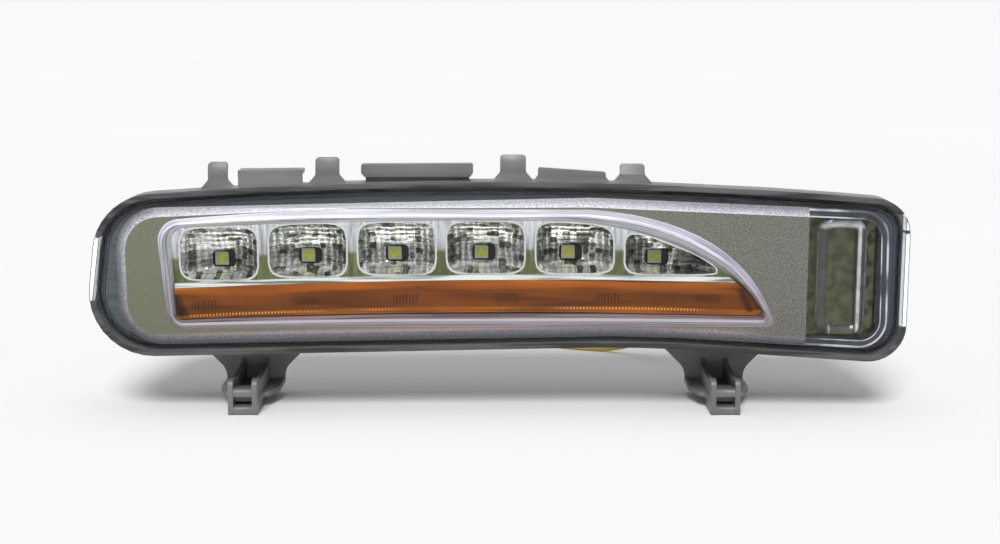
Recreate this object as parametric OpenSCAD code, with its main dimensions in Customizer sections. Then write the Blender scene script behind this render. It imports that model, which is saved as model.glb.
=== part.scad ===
// Daytime running light with a turn signal strip: a slim sealed lamp that stands on two clip feet.
// X runs along the lamp, Y from the lens (negative) to the back, Z up from the ground.

/* [Rim] */
// Width of the lamp across its rim
rim_w = 300; // [290:1:320]
// Height of the rim at its middle
rim_h = 61; // [60:0.5:66]
// Radius of the arched top edge
crown_r = 1667; // [1400:10:2400]
// Radius of the two left corners of the rim
left_corner_r = 23; // [20:0.5:25]
// Radius of the two right corners of the rim
right_corner_r = 13.5; // [12:0.5:16]
// Thickness of the outer wall of the sealing channel
rim_wall = 2; // [1.6:0.1:2.4]
// Width of the sealing channel
channel_w = 2.8; // [2.4:0.1:3]
// Depth of the sealing channel
channel_d = 8.4; // [7:0.2:10]

/* [Depth] */
// Depth of the lamp from the lens to the ribs on its back
total_d = 41.2; // [40:0.2:48]
// Wall thickness of the tray behind the rim
tray_wall = 2; // [1.6:0.1:2.6]
// Height of the ribs on the back
rib_h = 1.6; // [1:0.1:2]
// Thickness of the ribs on the back
rib_t = 1.4; // [1:0.1:2]

/* [Lens] */
// Thickness of the lens
lens_t = 2.4; // [2:0.1:2.6]
// Height of the raised lens face over its flat edge
face_step = 1.2; // [0.8:0.1:1.6]
// Width of the bevel round the raised face
face_bevel = 3.4; // [2.6:0.1:3.8]
// Height of the window panel over the lens face
window_step = 1; // [0.6:0.1:1.4]
// Thickness of the skirt in the channel
skirt_t = 1.4; // [1.2:0.1:1.6]

/* [Window] */
// Height of the top of the window band over the lower edge of the rim
band_top = 51.9; // [51:0.1:52.2]
// Width of one cup
cup_w = 28.4; // [26:0.2:29]
// Height of one cup
cup_h = 19.7; // [18:0.1:20]
// Distance from cup to cup
cup_pitch = 32.8; // [32.4:0.1:33.2]
// Depth of the cups
cup_d = 9.2; // [8:0.2:9.4]
// Wall thickness of the reflector
reflector_t = 1.3; // [1:0.1:1.5]
// Height of the bar between the cups and the amber strip
divider_h = 2.3; // [1.6:0.1:2.6]
// Height of the amber strip at its middle
amber_h = 12; // [11:0.1:12.4]
// Distance from flute to flute on the amber strip
flute_pitch = 1.2; // [1:0.1:2]
// Side of a white LED
led_side = 5; // [4:0.1:5.2]

/* [Feet] */
// Height of the rim's lower edge over the ground
foot_h = 26.3; // [25:0.1:32]
// Width of a clip box
clip_w = 10.9; // [9.6:0.1:12]
// Height of a clip box's cheeks
clip_h = 13.3; // [12.8:0.1:14.4]
// Thickness of the cheeks and ribs of a foot
cheek_t = 1.95; // [1.6:0.05:2.3]
// Height of the slot in a clip box
slot_h = 3.4; // [3:0.1:3.9]
// Half of the width of a foot's rear plate at its bottom
plate_half = 11.3; // [10.5:0.1:13]

/* [Tabs] */
// Height of the tallest top tab over the middle of the rim's top edge
tab_top = 9.1; // [8:0.1:13]
// Thickness of the top tabs
tab_t = 2.2; // [1.8:0.1:2.8]

/* [Lead] */
// Diameter of the lead
lead_d = 2; // [1.6:0.1:2.2]

/* [Hidden] */

corner_steps = 9;
crown_steps = 16;
sill_steps = 6;
half = rim_w / 2;
crown_x = -5;
sill_x = 53;
sill_left_drop = 4.2;
sill_right_drop = 6.7;
sill_blend_r = 600;

// Levels from front to back
y_front = -total_d / 2;
y_face = y_front + window_step;
y_rim = y_face + face_step;
y_floor = y_rim + channel_d;
y_channel_back = y_floor + tray_wall;
y_back = total_d / 2;
y_tray = y_back - rib_h;
lens_air = 0.8;
y_bezel = y_face + lens_t + lens_air;
bezel_t = 1.6;
bezel_rise = 3.4;
y_seat = y_bezel + bezel_rise;
chute_d = 3.8;
board_air = 2;
y_reflector = y_bezel + chute_d;
y_board = y_reflector + cup_d + board_air;
board_t = 1.6;
led_t = 1.6;
post_h = 2.4;
y_driver = y_tray - tray_wall - post_h - board_t;

channel_in = rim_wall + channel_w;
inner_wall = 1.6;
wall_in = channel_in + inner_wall;
overlap = 1;
body_in = wall_in - tray_wall + overlap;
skirt_gap = 0.6;
skirt_in = rim_wall + skirt_gap;
fit_gap = 0.3;

// Places along the lamp are measured from its left or right end, or from the window's left end
win_in = 25.4;
win_x = -half + win_in;
cup_in = 21.5;
cup_x = win_x + cup_in;
cup_count = 6;
led_drop = 3.3;

function unit(v) = v / norm(v);

// Arc of radius r that rounds the corner b between a and c
function corner_arc(a, b, c, r) =
    let (u = unit(a - b), v = unit(c - b), h = acos(u * v) / 2, m = b + unit(u + v) * r / sin(h))
    let (p = b + u * r / tan(h) - m, q = b + v * r / tan(h) - m)
    let (s = atan2(p.y, p.x), d = atan2(q.y, q.x) - s, w = d > 180 ? d - 360 : d < -180 ? d + 360 : d)
    let (n = r > 100 ? sill_steps : corner_steps)
    [for (i = [0:n]) m + r * [cos(s + w * i / n), sin(s + w * i / n)]];

// Closed outline from corners [x, z, radius], where radius 0 keeps the corner
function flat(p) = [p[0], p[1]];
function rounded(p) = let (n = len(p))
    [for (i = [0:n - 1])
        let (a = flat(p[(i + n - 1) % n]), b = flat(p[i]), c = flat(p[(i + 1) % n]))
            each p[i][2] == 0 ? [b] : corner_arc(a, b, c, p[i][2])];

// Outline moved inwards by d, with as many points
function inset(p, d) = let (n = len(p))
    [for (i = [0:n - 1])
        let (e = unit(p[i] - p[(i + n - 1) % n]), f = unit(p[(i + 1) % n] - p[i]))
        let (a = [-e.y, e.x], b = [-f.y, f.x]) p[i] + d * (a + b) / (1 + a * b)];

function lerp(p, q, t) = [for (i = [0:len(p) - 1]) p[i] * (1 - t) + q[i] * t];
function arch_z(x, top, mid, r) = top - (x - mid) * (x - mid) / (2 * r);
function arch(x0, x1, top, mid, r, n) =
    [for (i = [0:n]) let (x = x0 + (x1 - x0) * i / n) [x, arch_z(x, top, mid, r), 0]];
function bezier(p, n) = [for (i = [0:n]) let (t = i / n, s = 1 - t)
    s * s * s * p[0] + 3 * s * s * t * p[1] + 3 * s * t * t * p[2] + t * t * t * p[3]];
function box_path(x0, z0, x1, z1, r) = rounded([[x0, z0, r], [x1, z0, r], [x1, z1, r], [x0, z1, r]]);

crown_in = [28, 22];

// Long shape with an arched top edge and a sill of two straight runs that meet in a soft bend
function long_shape(left, right, low_left, sill, low_right, top, mid, r, r_left, r_right,
    x_sill) = rounded([
    [left[0], low_left, r_left],
    [x_sill, sill, sill_blend_r],
    [right[0], low_right, r_right],
    [right[1], arch_z(right[1], top, mid, r), r_right],
    each arch(right[1] - crown_in[1], left[1] + crown_in[0], top, mid, r, crown_steps),
    [left[1], arch_z(left[1], top, mid, r), r_left]
]);

// Rim of the housing, and the foot of the bevel round the raised lens face
rim_lean = [-3.25, 4.35];
face_left = [10.8, 10.6];
face_right = [6.7, 7.6];
face_low = [0.6, 4.2, -1.5];
face_drop = 5.5;
face_mid = -2;
face_crown_r = 1950;
face_corner_r = [16, 10.5];
face_sill_in = 3;
rim = long_shape([for (d = rim_lean) -half + d], [half, half],
    -sill_left_drop, 0, -sill_right_drop, rim_h, crown_x, crown_r, left_corner_r, right_corner_r, sill_x);
face = long_shape([for (d = face_left) -half + d], [for (d = face_right) half - d],
    face_low[0], face_low[1], face_low[2], rim_h - face_drop, face_mid, face_crown_r,
    face_corner_r[0], face_corner_r[1], sill_x - face_sill_in);

wing_in = [12, 8, 9, 18];
wing_steps = 10;
sweep_steps = 14;

// Wing shape: left side, sill arch, tip and a top edge that sweeps down to the tip
function wing(left_top, left_low, r_top, r_low, sill, tip, r_tip, top, sweep) = rounded([
    [left_low[0], left_low[1], r_low],
    each arch(left_low[0] + wing_in[0], tip[0] - wing_in[1], sill[0], sill[1], sill[2], wing_steps),
    [tip[0], tip[1], r_tip],
    for (p = bezier(sweep, sweep_steps)) [p[0], p[1], 0],
    each arch(sweep[3][0] - wing_in[2], left_top[0] + wing_in[3], top[0], top[1], top[2], wing_steps),
    [left_top[0], left_top[1], r_top]
]);
function at_win(p) = [win_x + p[0], p[1]];

// Outer edge of the window band, as places along from the window's left end and levels over the rim's edge
band_crown = 110.6;
band_crown_r = 1200;
band_low = 7.9;
band_sill = 140;
band_sill_r = 9000;
band_left = [0, 3.8];
band_left_drop = 5.1;
band_corner_r = [8, 7, 2];
band_tip = 226.3;
band_step = [1.2, 0.1];
band_sweep = [224.9, 215.1, 186.1, 151.2];
band_sweep_up = [3.1, 38.6, 1.3];
band_mid = win_x + band_crown;
band_end = win_x + band_sweep[3];
band = wing([win_x + band_left[0], band_top - band_left_drop], [win_x + band_left[1],
    band_low - band_step[0]],
    band_corner_r[0], band_corner_r[1], [band_low, win_x + band_sill, band_sill_r],
    [win_x + band_tip, band_low - band_step[1]], band_corner_r[2], [band_top, band_mid, band_crown_r],
    [at_win([band_sweep[0], band_low + band_sweep_up[0]]), at_win([band_sweep[1], band_sweep_up[1]]),
        at_win([band_sweep[2], band_top - band_sweep_up[2]]),
        [band_end, arch_z(band_end, band_top, band_mid, band_crown_r)]]);

// Clear opening of the window
opening_drop = 6;
opening_h = 33.8;
opening_crown = 112.6;
opening_crown_r = 2100;
opening_sill = 132.6;
opening_sill_r = 3000;
opening_left = [3.7, 5.7];
opening_left_drop = 2.8;
opening_corner_r = [6, 2, 1.6];
opening_end = 223.1;
opening_step = [2.7, 1.3];
opening_sweep = [221.3, 207.6, 174.6, 146.6];
opening_sweep_up = [1.4, 33.7, 0.7];
opening_top = band_top - opening_drop;
opening_low = opening_top - opening_h;
opening_tip = at_win([opening_sweep[0], opening_low + opening_sweep_up[0]]);
opening_mid = win_x + opening_crown;
sweep_end = win_x + opening_sweep[3];
sweep_in = [opening_tip, at_win([opening_sweep[1], opening_sweep_up[1]]),
    at_win([opening_sweep[2], opening_top - opening_sweep_up[2]]),
    [sweep_end, arch_z(sweep_end, opening_top, opening_mid, opening_crown_r)]];
opening = wing([win_x + opening_left[0], opening_top - opening_left_drop],
    [win_x + opening_left[1], opening_low - opening_step[0]], opening_corner_r[0], opening_corner_r[1],
    [opening_low, win_x + opening_sill, opening_sill_r], [win_x + opening_end,
        opening_low - opening_step[1]],
    opening_corner_r[2], [opening_top, opening_mid, opening_crown_r], sweep_in);
edge_gap = 0.3;
edge_run = 52.6;
edge_run_drop = 0.7;
opening_edge = concat(bezier(sweep_in, sweep_steps),
    [[opening_mid, opening_top], at_win([opening_crown - edge_run, opening_top - edge_run_drop]),
        at_win([opening_left[0] + edge_gap, opening_top - opening_left_drop])]);
edge_n = len(opening_edge);
edge_table = [for (i = [0:edge_n - 1]) opening_edge[edge_n - 1 - i]];

// Upper edge of the amber strip, and the strip's own outline
amber_r = 2600;
amber_crown = 136.6;
amber_in = [5.2, 214.9];
amber_mid = win_x + amber_crown;
function amber_top(x) = arch_z(x, opening_low + amber_h, amber_mid, amber_r);
amber_left = win_x + amber_in[0];
amber_right = win_x + amber_in[1];
cut_over = 20;
cut_steps = 20;
amber_cut = concat([[amber_left - cut_over, -cut_over], [amber_right + 2 * cut_over, -cut_over]],
    [[amber_right + 2 * cut_over, amber_top(amber_right)]],
    [for (i = [0:cut_steps])
        let (x = amber_right + (amber_left - cut_over - amber_right) * i / cut_steps) [x, amber_top(x)]]);

function cup_cx(i) = cup_x + cup_pitch * i;
function cup_base(x) = amber_top(x) + divider_h;
function cup_cz(i) = cup_base(cup_cx(i)) + cup_h / 2;
led_shift = 0.5;
led_step = 0.4;
led_tip_drop = 1.4;
function led_x(i) = cup_x - led_shift + (cup_pitch - led_step) * i;
function led_z(i) = cup_cz(i) - led_drop - (i == cup_count - 1 ? led_tip_drop : 0);
tip_stretch = 2.6;
turn_in = 16;
turn_pitch = 37.2;
function turn_x(i) = win_x + turn_in + turn_pitch * i;
turn_up = 3;
turn_z = opening_low + turn_up;

// Solid between two levels whose outline is p
module slab(p, y0, y1) {
    translate([0, y1, 0])
        rotate([90, 0, 0])
            linear_extrude(y1 - y0)
                polygon(p);
}

// Solid between two planes across X whose side view is p, as [y, z]
module side(p, x0, x1) {
    translate([x0, 0, 0])
        rotate([90, 0, 90])
            linear_extrude(x1 - x0)
                polygon(p);
}

// Round bar along Y
module bar(x, z, y0, y1, r) {
    translate([x, y0, z])
        rotate([-90, 0, 0])
            cylinder(r = r, h = y1 - y0, $fn = 48);
}

// Skin over loops [outline, y] that run from back to front, closed into a ring or capped
module loft(loops, ring = false) {
    n = len(loops[0][0]);
    m = len(loops);
    last = ring ? m - 1 : m - 2;
    walls = [for (k = [0:last], i = [0:n - 1])
        let (a = k * n, b = ((k + 1) % m) * n, j = (i + 1) % n)
            each [[a + i, b + i, b + j], [a + i, b + j, a + j]]];
    caps = ring ? [] : [[for (i = [0:n - 1]) i], [for (i = [n - 1:-1:0]) (m - 1) * n + i]];
    polyhedron(points = [for (l = loops, p = l[0]) [p.x, l[1], p.y]], faces = concat(walls, caps));
}

// Section [inset, y] led round an outline
module ring_loft(path, section) {
    loft([for (s = section) [inset(path, s[0]), s[1]]], ring = true);
}

// All but the feet and the lead is drawn from the lower edge of the rim
module lifted() {
    translate([0, 0, foot_h])
        children();
}

plastic = [0.42, 0.43, 0.42];
chromed = [0.72, 0.73, 0.7];

// Housing: rim, channel and tray

module shell() {
    difference() {
        union() {
            slab(rim, y_rim, y_channel_back);
            slab(inset(rim, body_in), y_channel_back - 1, y_tray);
            back_ribs();
        }
        difference() {
            slab(inset(rim, rim_wall), y_rim - 1, y_floor);
            slab(inset(rim, channel_in), y_seat, y_floor + 1);
        }
        slab(inset(rim, wall_in), y_seat - 1, y_tray - tray_wall);
        ear_notches();
    }
}

rib_count = 7;
rib_run = 28;
rib_margin = 8;
rib_levels = [20.74, 40.26];
module back_ribs() {
    intersection() {
        slab(inset(rim, body_in + rib_margin), y_tray - overlap, y_back);
        union() {
            for (i = [0:rib_count - 1])
                translate([(i - (rib_count - 1) / 2) * rib_run - rib_t / 2, y_tray - overlap,
                    -sill_right_drop])
                    cube([rib_t, rib_h + overlap, rim_h + sill_right_drop]);
            for (z = rib_levels)
                translate([-half, y_tray - overlap, z - rib_t / 2])
                    cube([rim_w, rib_h + overlap, rib_t]);
        }
    }
}

// Clear lugs of the lens stand in notches of the outer wall: [side, low, high]
ears = [[-1, 17, 40.6], [1, 7.3, 42], [1, 43, 48.9]];
ear_d = 4.2;
ear_w = 12;
ear_gap = 0.2;
module ear_zone(ear, y0, y1, grow) {
    translate([ear[0] > 0 ? half - ear_w : -half - 1, y0, ear[1] - grow])
        cube([ear_w + 1, y1 - y0, ear[2] - ear[1] + 2 * grow]);
}
module ear_notches() {
    for (e = ears)
        intersection() {
            difference() {
                slab(inset(rim, -1), y_rim - 1, y_rim + ear_d + ear_gap);
                slab(inset(rim, rim_wall + ear_gap), y_rim - 2, y_rim + ear_d + 1);
            }
            ear_zone(e, y_rim - 1, y_rim + ear_d + ear_gap, ear_gap);
        }
}

// Wells from the back for the bezel's screws
pillar_in = [18, 18, 42, 42];
pillar_x = [for (i = [0:3]) i < 2 ? -half + pillar_in[i] : half - pillar_in[i]];
pillar_z = [18, 36, 20, 40];
pillar_r = 3;
well_d = 12;
well_floor = 1.6;
well_wall = 1.4;
y_pillar = y_tray - well_d;
well_r = 3.4;
screw_r = 1.5;
screw_l = 9;
head_r = 2.8;
head_h = 2;
module wells(grow, y0, y1) {
    for (i = [0:3])
        bar(pillar_x[i], pillar_z[i], y0, y1, grow);
}

// Posts of the driver board
post_x = [-26, 26];
post_z = 29;
post_r = 2.6;
module posts() {
    for (x = post_x)
        bar(x, post_z, y_driver + board_t, y_tray - tray_wall / 2, post_r);
}

inlet_in = 54;
inlet_x = half - inlet_in;
inlet_z = 19.7;
inlet_r = 3.5;
inlet_rim = 3;
vent_in = 45;
vent_x = -half + vent_in;
vent_z = 30;
vent_r = 1.5;
vent_cap_r = 5;
vent_gap = 1;

// Top tabs: [left edge, width, drop below the tallest]
tab_back = 4.4;
tab_y = y_rim + tab_back;
function rim_top(x) = arch_z(x, rim_h, crown_x, crown_r);
narrow_tabs = [[-105.9, 7, 2.6], [-66.7, 8.6, 0.9], [0.6, 9.4, 0], [44.3, 9, 3.3]];
tab_bend = 3.6;
tab_lean = 1.5;
tab_flare = 3;
tab_root = 4;
tab_round = [2, 1.2];
module narrow_tab(t) {
    left = t[0];
    right = t[0] + t[1];
    root = rim_top((left + right) / 2) - overlap;
    top = rim_h + tab_top - t[2];
    bend = top - tab_bend;
    back = tab_y + tab_t;
    intersection() {
        side([[tab_y, root], [back, root], [back, bend], [back + tab_lean, top + 1], [tab_y + tab_lean,
            top + 1],
            [tab_y, bend]], left - tab_root, right + tab_root);
        slab(rounded([[left - tab_flare, root - 1, 0], [right + tab_flare, root - 1, 0],
            [right + tab_flare - 0.4, root + 1, 0], [right, root + tab_root, tab_round[0]],
            [right, top, tab_round[1]], [left, top, tab_round[1]], [left, root + tab_root, tab_round[0]],
            [left - tab_flare + 0.4, root + 1, 0]]), tab_y - 1, back + tab_lean + 1);
    }
}

// Wide tabs: a ledge on the left, a hooked plate in the middle and a plain one on the right
ledge = [-95, 23.4];
ledge_drop = 5.6;
ledge_d = 9;
ledge_t = 1.6;
ledge_rib = [1, 3.4, 8.6];
module ledge_tab() {
    x = ledge[0];
    w = ledge[1];
    top = rim_h + tab_top - ledge_drop;
    slab([[x, rim_top(x) - 1], [x + w, rim_top(x + w) - 1], [x + w, top + 0.2], [x, top]], tab_y,
        tab_y + tab_t);
    slab([[x, top - ledge_t], [x + w, top - ledge_t + 0.2], [x + w, top + 0.2], [x, top]], tab_y,
        tab_y + ledge_d);
    for (s = [x + 2, x + w / 2, x + w - 2 - rib_t])
        side([[tab_y + ledge_rib[0], rim_top(s) - 1], [tab_y + ledge_rib[1], rim_top(s) - 1],
            [tab_y + ledge_rib[2], top - ledge_t / 2], [tab_y + ledge_rib[0], top - ledge_t / 2]], s,
                s + rib_t);
}
hook = [-50, 40.7];
hook_drop = 3;
hook_h = 4.8;
hook_back = 1.6;
hook_out = 0.8;
hook_in = 1.4;
module hook_tab() {
    x = hook[0];
    w = hook[1];
    l = x + hook_in;
    r = x + w - hook_in;
    top = rim_h + tab_top - hook_drop;
    back = tab_y + hook_back + tab_t;
    slab([[l, rim_top(x) - 1], [r, rim_top(x + w) - 1], [r, top - 2], [l, top - 2]], tab_y + hook_back,
        back);
    slab(rounded([[l - 0.2, top - hook_h, 0], [r + 0.4, top - hook_h, 0], [x + w, top - hook_h + hook_in,
        0],
        [x + w, top, 0.6], [x, top - 0.2, 0.6], [x, top - hook_h + hook_in, 0]]), tab_y - hook_out, back);
}
plain = [14.4, 24.7];
plain_drop = 4.4;
plain_slope = 1.7;
plain_flare = 2;
module plain_tab() {
    x = plain[0];
    w = plain[1];
    l = rim_top(x);
    r = rim_top(x + w);
    top = rim_h + tab_top - plain_drop;
    slab(rounded([[x - plain_flare, l - 1, 0], [x + w + plain_flare, r - 1, 0], [x + w, r + plain_flare,
        1.5],
        [x + w, top - plain_slope, 0.8], [x, top, 0.8], [x, l + plain_flare, 1.5]]), tab_y, tab_y + tab_t);
}

// Clip feet: rear plate, ribs that run on as cheeks of the clip box, floor, roof bar and side shelf
foot_in = [55, 65.7];
foot_x = [-half + foot_in[0], half - foot_in[1]];
y_clip = y_rim;
plate_in = 3;
plate_y = y_tray - plate_in;
plate_t = 2;
plate_low = 4.2;
plate_neck = 9.6;
plate_flare = 12.4;
shelf_in = 12.4;
shelf_t = 1.8;
shelf_slope = 21;
roof_d = 10.2;
roof_h = [3.4, 2.4];
cheek_dip = [9, 4.6, 2.6];
shelf_y = y_clip + shelf_in;
function foot_plate() = let (b = plate_half, w = plate_half + plate_flare)
    let (neck = plate_neck + plate_flare, h = foot_h + body_in + tray_wall - 0.5) rounded([
        [-b, plate_low, 0], [b, plate_low, 0], [b, plate_neck, 8], [w, neck, 0], [w, h, 0],
        [-w, h, 0], [-w, neck, 0], [-b, plate_neck, 8]
    ]);
function cheek() = rounded([
    [y_clip, 0, 1], [plate_y + overlap, 0, 0], [plate_y + overlap, clip_h + 1.6, 0],
    [plate_y - cheek_dip[2], clip_h - 1.2, 2.5], [y_clip + cheek_dip[0], clip_h - 2, 6],
    [y_clip + cheek_dip[1], clip_h, 1.6], [y_clip, clip_h, 2.4]
]);
slot_z = 3.2;
slot_back = 0.4;
module foot() {
    c = clip_w / 2;
    inner = c - 0.5;
    roof = slot_z + slot_h;
    slab(foot_plate(), plate_y, plate_y + plate_t);
    side(cheek(), -c, -c + cheek_t);
    side(cheek(), c - cheek_t, c);
    side(rounded([[y_clip + 0.2, 0, 1], [plate_y + overlap, 0, 0], [plate_y + overlap, slot_z, 0],
        [y_clip + 0.2, slot_z, 1]]), -inner, inner);
    side(rounded([[y_clip + slot_back, roof, 0.8], [y_clip + roof_d, roof, 0],
        [y_clip + roof_d, roof + roof_h[1], 0], [y_clip + slot_back, roof + roof_h[0], 1.5]]), -inner,
            inner);
    translate([0, 0, plate_low])
        linear_extrude(shelf_t)
            polygon(shelf_plan());
}
function shelf_half() = let (c = clip_w / 2) [
    [plate_half, plate_y + 0.5], [plate_half, y_clip + shelf_slope], [plate_half - 3.1, shelf_y],
    [c + 1.2, shelf_y - 1], [c + 0.3, shelf_y - 3.5], [c, shelf_y - 8]
];
function shelf_plan() = let (h = shelf_half(), n = len(h))
    concat(h, [for (i = [n - 1:-1:0]) [-h[i][0], h[i][1]]]);

module housing() {
    color(plastic) {
        lifted()
            difference() {
                union() {
                    shell();
                    wells(well_r + well_wall, y_pillar, y_tray - tray_wall / 2);
                    posts();
                    for (t = narrow_tabs)
                        narrow_tab(t);
                    ledge_tab();
                    hook_tab();
                    plain_tab();
                }
                wells(well_r, y_pillar + well_floor, y_back + 1);
                wells(screw_r + 0.2, y_pillar - 1, y_back + 1);
                bar(inlet_x, inlet_z, y_tray - 3 * tray_wall, y_back + 1, inlet_r);
                bar(inlet_x, inlet_z, y_tray, y_back + 1, inlet_r + inlet_rim);
                bar(vent_x, vent_z, y_tray - 3 * tray_wall, y_back + 1, vent_r);
                bar(vent_x, vent_z, y_tray, y_back + 1, vent_cap_r + vent_gap);
            }
        for (x = foot_x)
            translate([x, 0, 0])
                foot();
    }
}

// Lens: flat edge over the channel, bevel, raised face, window panel, skirt and ears
lens_gap = 0.4;
lens_edge = 0.5;
skirt_lift = 2.2;
module lens() {
    o = rim_wall + lens_gap;
    y_under = y_rim + lens_t;
    y_skirt = y_floor - skirt_lift;
    lifted()
        color([0.85, 0.88, 0.9, 0.35])
            union() {
                loft([
                    [inset(face, face_bevel + 0.2), y_face + lens_t],
                    [inset(face, fit_gap), y_under],
                    [inset(rim, skirt_in + skirt_t), y_under],
                    [inset(rim, skirt_in + skirt_t), y_skirt],
                    [inset(rim, skirt_in), y_skirt],
                    [inset(rim, skirt_in), y_under],
                    [inset(rim, o), y_under],
                    [inset(rim, o), y_rim + lens_edge],
                    [inset(rim, o + lens_edge), y_rim],
                    [face, y_rim],
                    [inset(face, face_bevel), y_face]
                ]);
                loft([[band, y_face + 0.6], [band, y_face], [lerp(band, opening, 0.5), y_front]]);
                for (e = ears)
                    intersection() {
                        difference() {
                            slab(rim, y_rim, y_rim + ear_d);
                            slab(inset(rim, o + lens_edge), y_rim - 1, y_rim + ear_d + 1);
                            slab(inset(rim, rim_wall - 0.1), y_under - 0.4, y_rim + ear_d + 1);
                        }
                        ear_zone(e, y_rim - 1, y_rim + ear_d, 0);
                    }
            }
}

// Sealant in the channel, round the skirt
bead_h = 3.6;
module seal_bead() {
    lifted()
        color([0.2, 0.22, 0.26])
            difference() {
                slab(inset(rim, rim_wall), y_floor - bead_h, y_floor);
                slab(inset(rim, channel_in), y_floor - bead_h - 1, y_floor + 1);
                difference() {
                    slab(inset(rim, skirt_in), y_floor - bead_h - 1, y_floor - skirt_lift);
                    slab(inset(rim, skirt_in + skirt_t), y_floor - bead_h - 2, y_floor);
                }
            }
}

// Bezel: raised panel on a flange, sloped window walls and the end pocket
crest = lerp(band, opening, 0.55);
chute_t = 1.6;
pocket_in = [36.6, 11.4];
pocket_z = [3.5, 47.9];
pocket_r = 4.2;
pocket_d = 4.4;
pocket_wall = 0.7;
pocket = box_path(half - pocket_in[0], pocket_z[0], half - pocket_in[1], pocket_z[1], pocket_r);
lighten_left = [13, 23.6, 10, 45];
lighten_right = [48, 39.8, 15, 46];
lighten_r = 3;
lighten = [
    box_path(-half + lighten_left[0], lighten_left[2], -half + lighten_left[1], lighten_left[3], lighten_r),
    box_path(half - lighten_right[0], lighten_right[2], half - lighten_right[1], lighten_right[3],
        lighten_r)
];
stake_in = [30, 95, 155];
stake_out = 3.1;
stake_r = 1.2;
stake_head = [1.7, 0.9];
stake_x = [for (x = stake_in) win_x + x];
stake_high = [for (x = stake_x) [x, lookup(x, edge_table) + stake_out]];
stake_low = [for (x = stake_x) [x, arch_z(x, opening_low, win_x + opening_sill,
    opening_sill_r) - stake_out]];
stakes = concat(stake_high, stake_low);
rear_wall = 1.4;
bezel_in = [3.2, 3.7, 4.1];
module bezel_plate() {
    difference() {
        loft([
            [inset(rim, channel_in + lens_gap), y_seat],
            [inset(rim, channel_in + lens_gap), y_seat - rear_wall],
            [inset(face, bezel_in[0]), y_seat - rear_wall],
            [inset(face, bezel_in[1]), y_bezel + 0.4],
            [inset(face, bezel_in[2]), y_bezel]
        ]);
        for (p = lighten)
            slab(p, y_bezel + bezel_t, y_seat + 1);
        slab(inset(crest, -chute_t / 2), y_bezel - 1, y_seat + 1);
    }
}
module bezel() {
    lifted()
        color(chromed)
            difference() {
                union() {
                    bezel_plate();
                    loft([[inset(opening, -chute_t), y_reflector], [inset(crest, -chute_t), y_bezel + 0.15],
                        [crest, y_bezel + 0.15], [opening, y_reflector]], ring = true);
                    slab(inset(pocket, -pocket_wall), y_bezel + 0.5, y_bezel + pocket_d + pocket_wall);
                    for (p = stakes) {
                        bar(p[0], p[1], y_bezel + bezel_t / 2, y_reflector + flange_t + 0.5, stake_r);
                        bar(p[0], p[1], y_reflector + flange_t, y_reflector + flange_t + stake_head[1],
                            stake_head[0]);
                    }
                    for (i = [0:3])
                        bar(pillar_x[i], pillar_z[i], y_bezel + bezel_t / 2, y_pillar, pillar_r);
                }
                slab(pocket, y_bezel - 1, y_bezel + pocket_d);
                wells(screw_r - 0.25, y_pillar - screw_l, y_pillar + 1);
            }
}

// Reflector: flange, six faceted cups, divider bar and the light box of the amber strip
cup_sides = 20;
cup_square = 0.42;
window_w = 8.7;
window_h = 6.2;
window_shift = 0.9;
function power(v, e) = sign(v) * pow(abs(v), e);
function cup_ring(i, u, grow) =
    let (last = i == cup_count - 1)
    let (w = cup_w / 2 + (last ? tip_stretch : 0), cx = cup_cx(i) + (last ? tip_stretch : 0), s = pow(u,
        0.6))
    let (hx = w * s + window_w / 2 * (1 - s) + grow, hz = cup_h / 2 * s + window_h / 2 * (1 - s) + grow)
    let (x = cx * s + (led_x(i) + window_shift) * (1 - s), z = cup_cz(i) * s + led_z(i) * (1 - s))
    [for (k = [0:cup_sides - 1]) let (a = 360 * (k + 0.5) / cup_sides)
        let (px = x + hx * power(cos(a), cup_square))
        let (room = lookup(px, edge_table) - edge_gap + grow - z + hz)
        [px, z - hz + hz * (1 + power(sin(a), cup_square)) * min(1, room / (2 * hz))]];
module cup(i) {
    y0 = y_reflector + 0.15;
    d = cup_d - 0.15;
    loft(concat(
        [for (u = [0, 0.5, 1]) [cup_ring(i, u, reflector_t), y0 + d * (1 - u)]],
        [for (u = [1, 0.75, 0.5, 0.25, 0]) [cup_ring(i, u, 0), y0 + d * (1 - u)]]), ring = true);
}
boss_x = [for (i = [0, 2, 4]) (cup_cx(i) + cup_cx(i + 1)) / 2];
boss_z = 36;
boss_r = 1.9;
module amber_prism(grow, y0, y1) {
    intersection() {
        slab(inset(opening, -grow), y0, y1);
        slab([for (p = amber_cut) [p[0], p[1] + grow]], y0 - 1, y1 + 1);
    }
}
amber_d = 5;
y_amber = y_reflector - 1.8;
flange_t = 1.5;
flange_w = 4.6;
box_gap = 0.1;
box_ledge = 1.1;
board_screw_r = 0.75;
board_screw_l = 5;
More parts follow.
